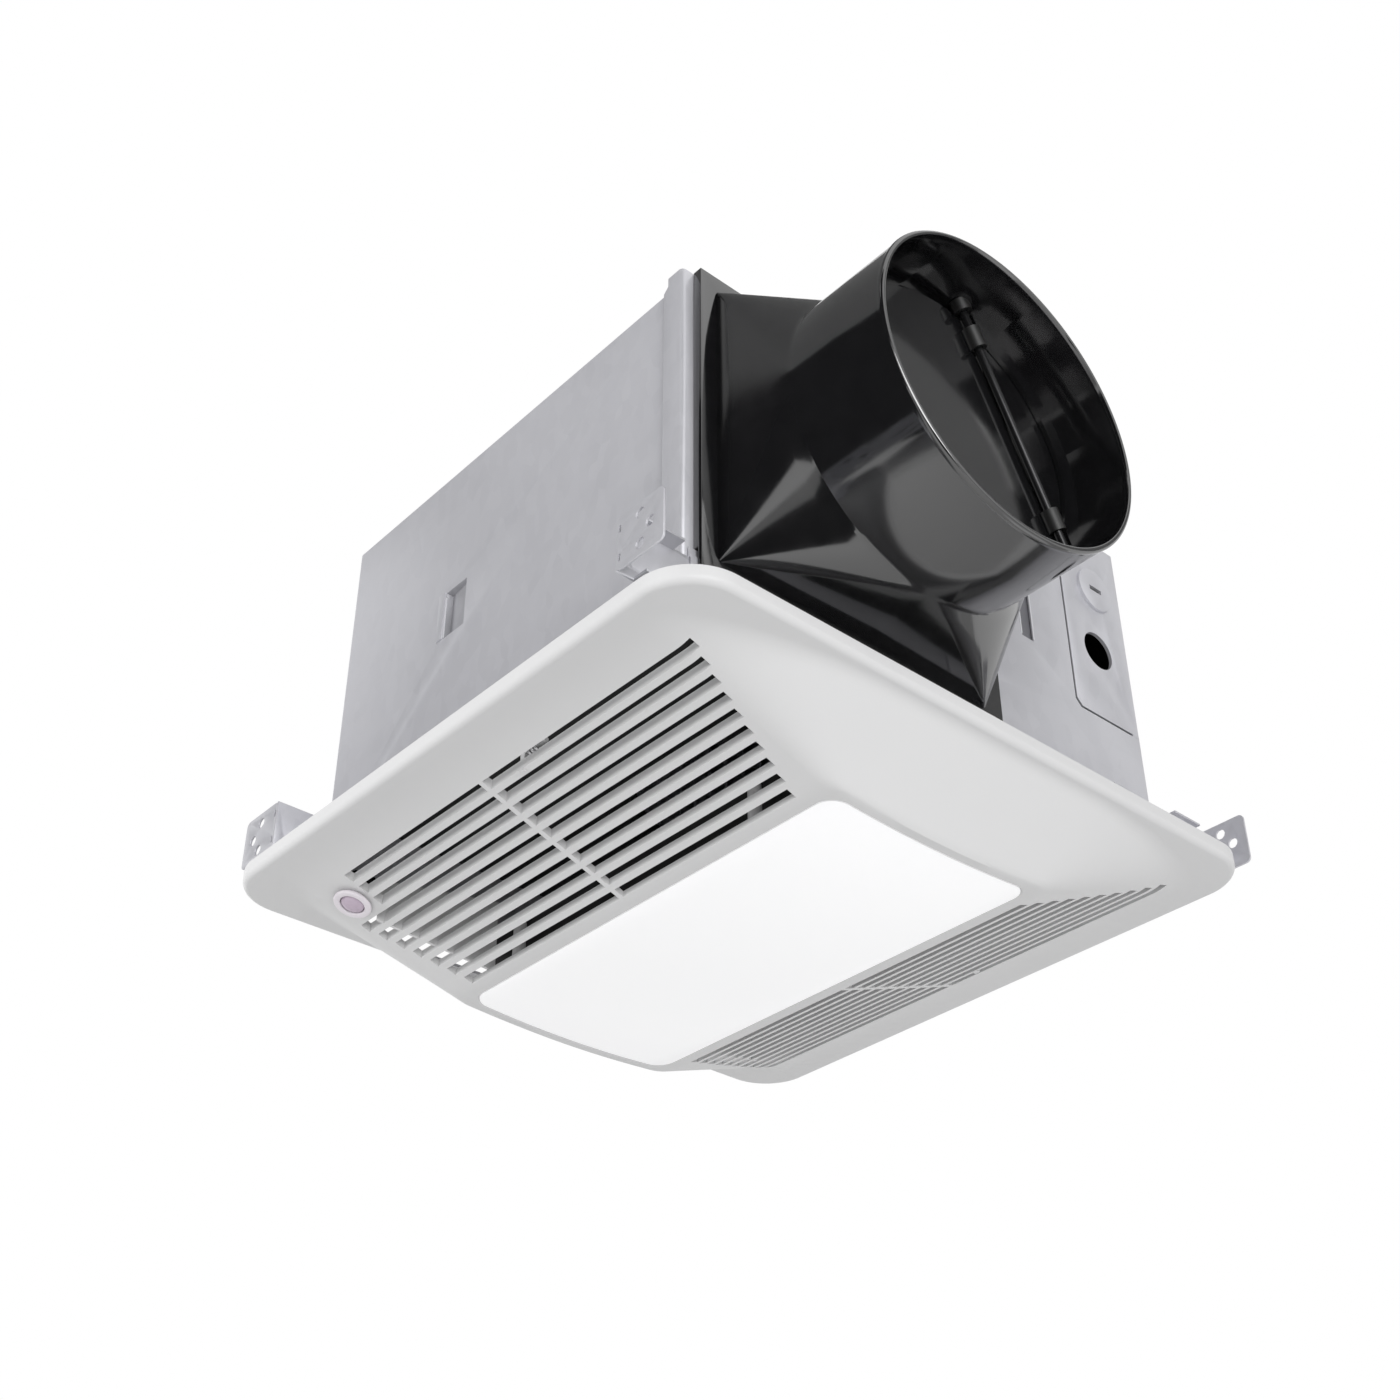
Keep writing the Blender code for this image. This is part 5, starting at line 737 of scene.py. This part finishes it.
for x, y in TRAY_BOSSES:
    bar(moulding, (x, y, TRAY_BOSS_Z[0]), (x, y, TRAY_BOSS_Z[1]), TRAY_BOSS_R, 20)
for x, y in SPRING_PLACES:
    block(moulding, (x + POST_X[0], y - POST_HALF, POST_Z[0]),
          (x + POST_X[1], y + POST_HALF, POST_Z[1]))
    bar(moulding, (x + PEG_X[0], y, PEG_Z), (x + PEG_X[1], y, PEG_Z), PEG_R, 16)
for side in (-1, 1):
    made = block(moulding, (-SIDE_RIB_HALF, -0.5, 0.0), (SIDE_RIB_HALF, 0.5, 1.0))
    start, end = [Vector((x, side * y, 0.0)) for x, y in SIDE_RIB_ENDS]
    along = (end - start).normalized()
    across = Vector((-along.y, along.x, 0.0))
    for vert in made:
        share = vert.co.y + 0.5
        low = SIDE_RIB_LOW[0] + (SIDE_RIB_LOW[1] - SIDE_RIB_LOW[0]) * share
        foot = start.lerp(end, share) + across * vert.co.x
        vert.co = (foot.x, foot.y, low if vert.co.z < 0.5 else 0.0)
piece("grille_moulding", moulding, "white_plastic", "grille_panel", ("grille",), 30.0)

# %% [markdown]
# ## The duct adapter
# It is one moulding that leads the air from a square port to a round duct. Its skin starts as a
# square foot and ends as a round collar. Both outlines have the same number of points, so each
# step between them is a plain blend, and the corners turn into cones. The flat plate and the
# flap's two half seats are shells of the same piece, because a boolean union can tear where faces
# lie close. The pin's bosses are duller, so they are a piece of their own.

# %% The adapter's sizes
COLLAR_MIDDLE = Vector((0.0, -0.0537, 0.1062))
COLLAR_R, COLLAR_BORE, COLLAR_START, COLLAR_END = 0.075, 0.0725, 0.175, 0.2279
PLATE_BACK, PLATE_FACE = 0.13046, 0.13526
FOOT_HALF, FOOT_ROUND, FOOT_WALL, FOOT_LAP = (0.0775, 0.075), 0.002, 0.003, 0.0015
LIP_R, LIP_INSET, CONE_STEPS, TURN_SIDES = 0.0015, 0.00105, 8, 144
PIN_MIDDLE = Vector((0.201, -0.020423, 0.122376))
PIN_ALONG = Vector((0.0, 0.437, -0.899)).normalized()
PIN_AWAY = Vector((0.0, -PIN_ALONG.z, PIN_ALONG.y))
PIN_OFFSET = 0.037


def round_ring(x, radius, middle=COLLAR_MIDDLE, sides=TURN_SIDES):
    """A circle that faces along X, round the collar's axis or another middle."""
    turns = [WHOLE_TURN * i / sides for i in range(sides)]
    return [middle + Vector((x, radius * math.cos(turn), radius * math.sin(turn)))
            for turn in turns]


def square_ring(x, inset=0.0, corner=FOOT_ROUND):
    """The foot's square, point by point beside round_ring: most points lie in its corners."""
    half_y, half_z = FOOT_HALF[0] - inset, FOOT_HALF[1] - inset
    quarter, points = TURN_SIDES // 4, []
    for turn, (side_y, side_z) in enumerate(((1, 1), (-1, 1), (-1, -1), (1, -1))):
        for i in range(quarter):
            if i == 0:
                y, z = ((half_y, 0), (0, half_z), (-half_y, 0), (0, -half_z))[turn]
            else:
                angle = QUARTER * (turn + (i - 1) / (quarter - 2))
                y = side_y * (half_y - corner) + corner * math.cos(angle)
                z = side_z * (half_z - corner) + corner * math.sin(angle)
            points.append(COLLAR_MIDDLE + Vector((x, y, z)))
    return points


def blended(first, second, share):
    """The outline part of the way from one to another."""
    return [a.lerp(b, share) for a, b in zip(first, second)]


# %% The adapter's skin
outer_foot = square_ring(PLATE_FACE + 0.0004)
inner_foot = square_ring(PLATE_FACE + 0.002, FOOT_WALL)
outer_start, inner_start = [round_ring(COLLAR_START, radius) for radius in (COLLAR_R, COLLAR_BORE)]
profile = [square_ring(PLATE_FACE - 0.001), outer_foot]
profile += [blended(outer_foot, outer_start, i / CONE_STEPS) for i in range(1, CONE_STEPS)]
profile += [blended(outer_foot, outer_start, 0.97)]
profile += [round_ring(x, COLLAR_R) for x in (COLLAR_START + 0.0004, COLLAR_START + 0.002,
                                              COLLAR_START + 0.026, COLLAR_END - 0.0034)]
profile += [round_ring(COLLAR_END - 0.0030, COLLAR_R + 0.00012)]
for degrees in range(115, -60, -25):
    angle = math.radians(degrees)
    profile.append(round_ring(COLLAR_END - LIP_R + LIP_R * math.cos(angle),
                              COLLAR_R - LIP_INSET + LIP_R * math.sin(angle)))
profile += [round_ring(COLLAR_END - 0.0016, COLLAR_BORE + 0.0001),
            round_ring(COLLAR_END - 0.0030, COLLAR_BORE), inner_start]
profile += [blended(inner_start, inner_foot, i / CONE_STEPS) for i in range(1, CONE_STEPS + 1)]
profile += [square_ring(PLATE_FACE - 0.001, FOOT_WALL)]
adapter_skin = lofted(profile)
print("faces of the adapter's skin:", len(adapter_skin.faces))

# %% Shapes for the plate and the seats
KNIFE_SIZE = 0.4


def slab(low, high, radius, segments=1):
    """A box with rounded edges, as a bmesh of its own."""
    shape = bmesh.new()
    block(shape, low, high)
    bmesh.ops.bevel(shape, geom=shape.edges, offset=radius, segments=segments, profile=0.5,
                    affect="EDGES", material=-1)
    return shape


def disc_ring(low_x, high_x, radius, bore):
    """A flat ring round the collar's axis."""
    return lofted([round_ring(low_x, radius), round_ring(high_x, radius), round_ring(high_x, bore),
                   round_ring(low_x, bore)])


def past_line(offset, side):
    """A block that covers one side of a line that runs beside the pin."""
    shape = bmesh.new()
    made = bmesh.ops.create_cube(shape, size=KNIFE_SIZE)["verts"]
    columns = Matrix((Vector((1, 0, 0)), PIN_AWAY, -PIN_ALONG)).transposed().to_4x4()
    middle = COLLAR_MIDDLE + PIN_AWAY * (offset + side * KNIFE_SIZE / 2) + Vector((0.15, 0, 0))
    bmesh.ops.transform(shape, verts=made, matrix=Matrix.Translation(middle) @ columns)
    return shape


def joined(*shapes):
    """All the shapes in one bmesh, each as its own shell."""
    whole = bmesh.new()
    for shape in shapes:
        mesh = bpy.data.meshes.new("joining")
        shape.to_mesh(mesh)
        shape.free()
        whole.from_mesh(mesh)
        bpy.data.meshes.remove(mesh)
    return whole


# %% The adapter's plate and seats
PLATE_Y, PLATE_Z, PLATE_SKIN, RELIEF_TOP = (-0.1399, 0.0354), (0.020, 0.190), 0.0021, 0.0357
SCREWS, SCREW_HOLE_R = [(0.0296, 0.0562), (0.0296, 0.1562)], 0.0019
SEAT_UP, SEAT_DOWN = (0.1926, 0.1948), (0.1988, 0.2010)
SEAT_RADII, SEAT_CLEAR = (0.0738, 0.0640), 0.007

plate = slab((PLATE_BACK, PLATE_Y[0], PLATE_Z[0]), (PLATE_FACE, PLATE_Y[1], PLATE_Z[1]), 0.0003, 2)
hole, relief = bmesh.new(), bmesh.new()
hole_middle = COLLAR_MIDDLE + Vector((0.125, 0.0, 0.0))
hole_half = Vector((0.025, FOOT_HALF[0] - FOOT_LAP, FOOT_HALF[1] - FOOT_LAP))
block(hole, hole_middle - hole_half, hole_middle + hole_half)
for y, z in SCREWS:
    bar(hole, (0.12, y, z), (0.15, y, z), SCREW_HOLE_R, 24)
block(relief, (0.12, -0.16, 0.0), (PLATE_FACE - PLATE_SKIN, 0.06, RELIEF_TOP))
plate = carved(carved(plate, hole), relief)
upstream = carved(disc_ring(*SEAT_UP, *SEAT_RADII), past_line(PIN_OFFSET - SEAT_CLEAR, 1))
downstream = carved(disc_ring(*SEAT_DOWN, *SEAT_RADII), past_line(PIN_OFFSET + SEAT_CLEAR, -1))
piece("adapter_moulding", joined(adapter_skin, plate, upstream, downstream), "black_plastic",
      "housing", ("duct_adapter",), 28.0)

# %% The pin's bosses
BOSS_ENDS, BOSS_R = (0.0585, 0.0640), 0.0045
BORE_R, BOSS_BORE = 0.0023, 0.0622


def pin_bar(shape, start, end, radius, sides):
    """Adds a round bar on the pin's line, between two distances from its middle."""
    bar(shape, PIN_MIDDLE + PIN_ALONG * start, PIN_MIDDLE + PIN_ALONG * end, radius, sides)


bosses, bore = bmesh.new(), bmesh.new()
for side in (-1, 1):
    pin_bar(bosses, side * BOSS_ENDS[0], side * BOSS_ENDS[1], BOSS_R, 40)
pin_bar(bore, -BOSS_BORE, BOSS_BORE, BORE_R, 24)
piece("adapter_bosses", carved(bosses, bore), "satin_black", "housing", ("duct_adapter",), 28.0)

# %% [markdown]
# The flap is a thin disc with a rounded edge, a notch at each boss and two knuckles on the pin. All
# of it could be one union, but the knuckles are duller than the disc, so they are a piece of their
# own. The pin is blackened steel, as the picture shows only a thin bright line along it.

# %% Flap and pin
FLAP_R, FLAP_BACK, FLAP_FACE, FLAP_BREAK = 0.0683, 0.1965, 0.1985, 0.0004
NOTCH_ENDS, NOTCH_R = (0.0576, 0.080), 0.0054
KNUCKLE_ENDS, KNUCKLE_R, KNUCKLE_BORE = (0.0500, 0.0400), 0.004, 0.075
PIN_HALF, PIN_R, PIN_BREAK = 0.0619, 0.002, 0.0003

flap_edge = ((FLAP_BACK, FLAP_R - FLAP_BREAK), (FLAP_BACK + FLAP_BREAK, FLAP_R),
             (FLAP_FACE - FLAP_BREAK, FLAP_R), (FLAP_FACE, FLAP_R - FLAP_BREAK))
flap = lofted([round_ring(x, radius) for x, radius in flap_edge], "filled")
notches, knuckles, bore = bmesh.new(), bmesh.new(), bmesh.new()
for side in (-1, 1):
    pin_bar(notches, side * NOTCH_ENDS[0], side * NOTCH_ENDS[1], NOTCH_R, 32)
    pin_bar(knuckles, side * KNUCKLE_ENDS[0], side * KNUCKLE_ENDS[1], KNUCKLE_R, 40)
pin_bar(bore, -KNUCKLE_BORE, KNUCKLE_BORE, BORE_R, 24)
piece("flap_moulding", carved(flap, notches), "black_plastic", "damper", ("damper_flap",), 28.0)
piece("flap_knuckles", carved(knuckles, bore), "satin_black", "damper", ("damper_flap",), 28.0)
pin = bmesh.new()
pin_bar(pin, -PIN_HALF, PIN_HALF, PIN_R, 40)
ends = [edge for edge in pin.edges if max(len(face.verts) for face in edge.link_faces) > 4]
bmesh.ops.bevel(pin, geom=ends, offset=PIN_BREAK, segments=2, profile=0.5, affect="EDGES",
                material=-1)
piece("turned_pin", pin, "blackened_steel", "housing", ("damper_pin",))

# %% [markdown]
# ## Pressed sheet metal
# Sheet parts look right only when their edges catch a thin line of light. A copy of each solid is
# merged, cleaned of flat triangles and given a bevel that touches only its real edges. Smoothing
# the shading alone would smear the flat faces.

# %% Soft edges for the sheet parts
MERGE_REACH, FLAT_ANGLE, SHARP_ANGLE = 0.000002, math.radians(0.5), math.radians(32.0)


def merged(name):
    """A cleaned copy of a node's mesh, in a bmesh."""
    shape = bmesh.new()
    shape.from_mesh(NODES[name].data)
    shape.transform(NODES[name].matrix_world)
    bmesh.ops.remove_doubles(shape, verts=shape.verts, dist=MERGE_REACH)
    bmesh.ops.dissolve_limit(shape, angle_limit=FLAT_ANGLE, verts=shape.verts, edges=shape.edges)
    bmesh.ops.recalc_face_normals(shape, faces=shape.faces)
    return shape


def edged(shape, width):
    """The same shape with its sharp edges rounded, kept inside its own box."""
    low = [min(vert.co[axis] for vert in shape.verts) for axis in range(3)]
    high = [max(vert.co[axis] for vert in shape.verts) for axis in range(3)]
    sharp = [edge for edge in shape.edges
             if edge.is_manifold and edge.calc_face_angle() > SHARP_ANGLE]
    bmesh.ops.bevel(shape, geom=sharp, offset=width, segments=2, profile=0.5, affect="EDGES",
                    clamp_overlap=True, material=-1)
    for vert in shape.verts:
        vert.co = [min(max(value, a), b) for value, a, b in zip(vert.co, low, high)]
    return shape


# %% [markdown]
# The strap on the duct wall shows as a narrow slot with bright edges, so the part of it that stands
# out is trimmed off flush. The corner cover is made anew: a wider seam, a blank that stands out a
# little with its pry slot, and a short flange round the open knock-out. Its own solid could be
# softened as the others are, but it is flat there.

# %% The strap's trimmer
WALL_X = 0.13016

trimmer = bmesh.new()
block(trimmer, (WALL_X + 0.00002, 0.058, 0.088), (WALL_X + 0.01, 0.076, 0.130))
KNIVES = {"duct_side_panel": trimmer}
print("nodes that are trimmed:", ", ".join(KNIVES))

# %% The corner cover
SHEET = 0.001
COVER_LOW, COVER_HIGH, COVER_CHAMFER = (0.0994, 0.0716), (0.14446, 0.183), 0.0035
SEAM_END = (0.1396, 0.0703)
KNOCKOUT, KNOCKOUT_R = (0.1215, 0.1122), 0.01025
FLANGE_R, FLANGE_X = KNOCKOUT_R + 0.0006, (WALL_X - 0.0018, WALL_X - 0.0008)
BLANK, BLANK_R, BLANK_PROUD = (0.1240, 0.1500), 0.0121, 0.0017
PRY_HALF, PUNCH_X, ROUND_SIDES = (0.00435, 0.0013), (0.12, 0.14), 64


def pry_corners(low_x, high_x):
    """Two opposite corners of a box that is as wide and as high as the pry slot."""
    return ((low_x, BLANK[0] - PRY_HALF[0], BLANK[1] - PRY_HALF[1]),
            (high_x, BLANK[0] + PRY_HALF[0], BLANK[1] + PRY_HALF[1]))


outline = [(COVER_LOW[0] + COVER_CHAMFER, COVER_LOW[1]), (COVER_HIGH[0], COVER_LOW[1]), COVER_HIGH,
           (COVER_LOW[0], COVER_HIGH[1]), (COVER_LOW[0], COVER_LOW[1] + COVER_CHAMFER)]
sheet = lofted([[(x, y, z) for y, z in outline] for x in (WALL_X - SHEET, WALL_X)], "filled")
openings, slot_knife, blank, seam_end = [bmesh.new() for _ in range(4)]
bar(openings, (PUNCH_X[0], *KNOCKOUT), (PUNCH_X[1], *KNOCKOUT), KNOCKOUT_R, ROUND_SIDES)
block(openings, *pry_corners(*PUNCH_X))
block(slot_knife, *pry_corners(*PUNCH_X))
bar(blank, (WALL_X - 0.0002, *BLANK), (WALL_X + BLANK_PROUD, *BLANK), BLANK_R, ROUND_SIDES)
flange_ends = ((FLANGE_X[0], KNOCKOUT_R), (FLANGE_X[1], KNOCKOUT_R), (FLANGE_X[1], FLANGE_R),
               (FLANGE_X[0], FLANGE_R))
flange = lofted([round_ring(x, radius, Vector((0.0, *KNOCKOUT)), ROUND_SIDES)
                 for x, radius in flange_ends])
block(seam_end, (WALL_X - SHEET, *SEAM_END), (WALL_X, COVER_HIGH[0], COVER_LOW[1]))
cover = joined(edged(carved(sheet, openings), 0.00015),
               carved(edged(blank, 0.00012), slot_knife), flange, seam_end)
piece("corner_cover", cover, "galvanised", "housing", ("wiring_cover",))

# %% [markdown]
# Every other solid gets the same treatment in one loop. Only the two torsion springs keep the
# frame's own mesh.

# %% Soft edges for the other solids
MADE_BY_HAND = ("grille", "duct_adapter", "damper_flap", "damper_pin", "sensor_bezel",
                "sensor_lens", "wiring_cover")
KEPT_AS_THEY_ARE = ("torsion_spring_near", "torsion_spring_back")
PLAIN_EDGE = 0.00030
EDGE_WIDTHS = {"white_plastic": 0.00035, "black_plastic": 0.00035, "bright_steel": 0.00020,
               "board_green": 0.00015, "green_paint": 0.00020}

for name, node in sorted(NODES.items()):
    if name not in MADE_BY_HAND + KEPT_AS_THEY_ARE:
        finish = PAINTED.get(name, PLAIN_SLOTS[name])
        shape = merged(name)
        if name in KNIVES:
            shape = carved(shape, KNIVES[name])
        shape = edged(shape, EDGE_WIDTHS.get(finish, PLAIN_EDGE))
        body = node.parent.name.split(":")[1]
        piece(name + "_soft", shape, finish, body, (name,))

# %% [markdown]
# The window in the side wall is a pressed pocket. It is deeper at its left than at its right, so
# its roof shows as a dark wedge. A backing in darker zinc stands behind the strap's slot as painted
# shade. Thin bright strips along the edges of both are painted highlights, and a dark strip in the
# pry slot is a painted shadow. Paint in the material could draw them, but without any depth.

# %% The window's pocket
WALL_Y = -0.14476
WINDOW_LOW, WINDOW_HIGH, POCKET_SHY = (-0.038, 0.0835), (-0.022, 0.110), 0.0002
POCKET_Y, DEPTH_LEFT, DEPTH_RIGHT = (WALL_Y + 0.0001, WALL_Y + 0.0046), 0.0037, 0.0020

pocket, hollow = bmesh.new(), bmesh.new()
block(pocket, (WINDOW_LOW[0], POCKET_Y[0], WINDOW_LOW[1]),
      (WINDOW_HIGH[0], POCKET_Y[1], WINDOW_HIGH[1]))
corners = block(hollow, (WINDOW_LOW[0] + POCKET_SHY, WALL_Y - 0.002, WINDOW_LOW[1] + POCKET_SHY),
                (WINDOW_HIGH[0] - POCKET_SHY, WALL_Y + DEPTH_LEFT, WINDOW_HIGH[1] - POCKET_SHY))
for corner in corners:
    if corner.co.y > WALL_Y and corner.co.x > WINDOW_HIGH[0] - 0.002:
        corner.co.y = WALL_Y + DEPTH_RIGHT
pocket = edged(carved(pocket, hollow), 0.00015)
# The pocket's darker zinc is painted shade.
piece("window_pocket", pocket, "pressed_zinc", "housing")

# %% Painted edge highlights, pry shadow and backing
STRIP_PROUD, STRIP_SUNK, STRIP_BREAK = 0.0002, 0.0004, 0.0001
# low end, high end and top of each strip beside the window, then the ends of those by the strap
STRIPS_BESIDE_WINDOW = ((-0.0437, -0.0429, 0.1085), (-0.0382, -0.0375, 0.1070))
STRIPS_BESIDE_STRAP = ((0.0623, 0.0631), (0.0709, 0.0717))

# Painted highlights: bright strips along the lit edges of the window and the strap's slot.
strips = [slab((low, WALL_Y - STRIP_PROUD, 0.0842), (high, WALL_Y + STRIP_SUNK, top), STRIP_BREAK)
          for low, high, top in STRIPS_BESIDE_WINDOW]
strips += [slab((WALL_X - STRIP_SUNK, low, 0.0945), (WALL_X + STRIP_PROUD, high, 0.1240),
                STRIP_BREAK) for low, high in STRIPS_BESIDE_STRAP]
piece("cut_edges", joined(*strips), "cut_edge", "housing")
# Painted shadow: a black strip in the pry slot.
shadow = slab(*pry_corners(WALL_X - STRIP_SUNK, WALL_X + 0.0003), STRIP_BREAK)
piece("pry_shadow", shadow, "matt_black", "housing")
# Painted shade: a backing in darker zinc behind the strap's slot.
backing = slab((WALL_X - 0.0022, 0.0620, 0.0930), (WALL_X - 0.0012, 0.0720, 0.1250), 0.0002)
piece("slot_backing", backing, "shaded_zinc", "housing")

# %% [markdown]
# ## The motion sensor
# A pale ring stands round a small domed lens of frosted violet plastic. Both are turned shapes.
# They could be stacked from cones and spheres, but a short profile of (radius, height) points that
# is spun once round the sensor's own slanted axis gives the whole ring with its rounded lip.

# %% Turned shapes
SPIN_STEPS = 64


def turned(profile, place, facing):
    """Spins (radius, height) points round an axis through a place."""
    shape = bmesh.new()
    verts = [shape.verts.new((radius, 0.0, height)) for radius, height in profile]
    edges = [shape.edges.new(pair) for pair in zip(verts, verts[1:])]
    bmesh.ops.spin(shape, geom=verts + edges, cent=(0, 0, 0), axis=(0, 0, 1), dvec=(0, 0, 0),
                   angle=WHOLE_TURN, steps=SPIN_STEPS, use_merge=True, use_duplicate=False)
    bmesh.ops.remove_doubles(shape, verts=shape.verts, dist=0.000001)
    bmesh.ops.recalc_face_normals(shape, faces=shape.faces)
    toward = Vector(facing).to_track_quat("Z", "Y").to_matrix().to_4x4()
    bmesh.ops.transform(shape, verts=shape.verts, matrix=Matrix.Translation(place) @ toward)
    return shape


def arc(centre_r, centre_h, radius, start, end, steps):
    """Points along part of a circle, from one angle in degrees to another."""
    angles = [math.radians(start + (end - start) * i / steps) for i in range(steps + 1)]
    return [(centre_r + radius * math.cos(angle), centre_h + radius * math.sin(angle))
            for angle in angles]


# %% The motion sensor
DOME_R, DOME_RISE = 0.0056, 0.0018

ring_profile = [(0.0060, -0.0035), (0.0072, -0.0035), (0.0072, -0.0001), (0.0090, -0.0001)]
ring_profile += arc(0.0082, 0.0004, 0.0008, 0, 90, 6) + arc(0.0066, 0.0005, 0.0007, 90, 180, 5)
ring_profile += [(0.0059, 0.0002), (0.0059, -0.0034), (0.0060, -0.0035)]
piece("sensor_ring", turned(ring_profile, SENSOR_PLACE, SENSOR_FACING), "bezel_white",
      "grille_panel", ("sensor_bezel",), 50.0)
dome_profile = [(0.0, -DOME_RISE), (DOME_R - 0.0001, -DOME_RISE), (DOME_R, -DOME_RISE + 0.0002),
                (DOME_R, 0.0)]
dome_profile += [(DOME_R * math.cos(math.radians(angle)), DOME_RISE * math.sin(math.radians(angle)))
                 for angle in range(10, 100, 10)]
piece("sensor_dome", turned(dome_profile, SENSOR_PLACE, SENSOR_FACING), "sensor_glass",
      "grille_panel", ("sensor_lens",), 50.0)
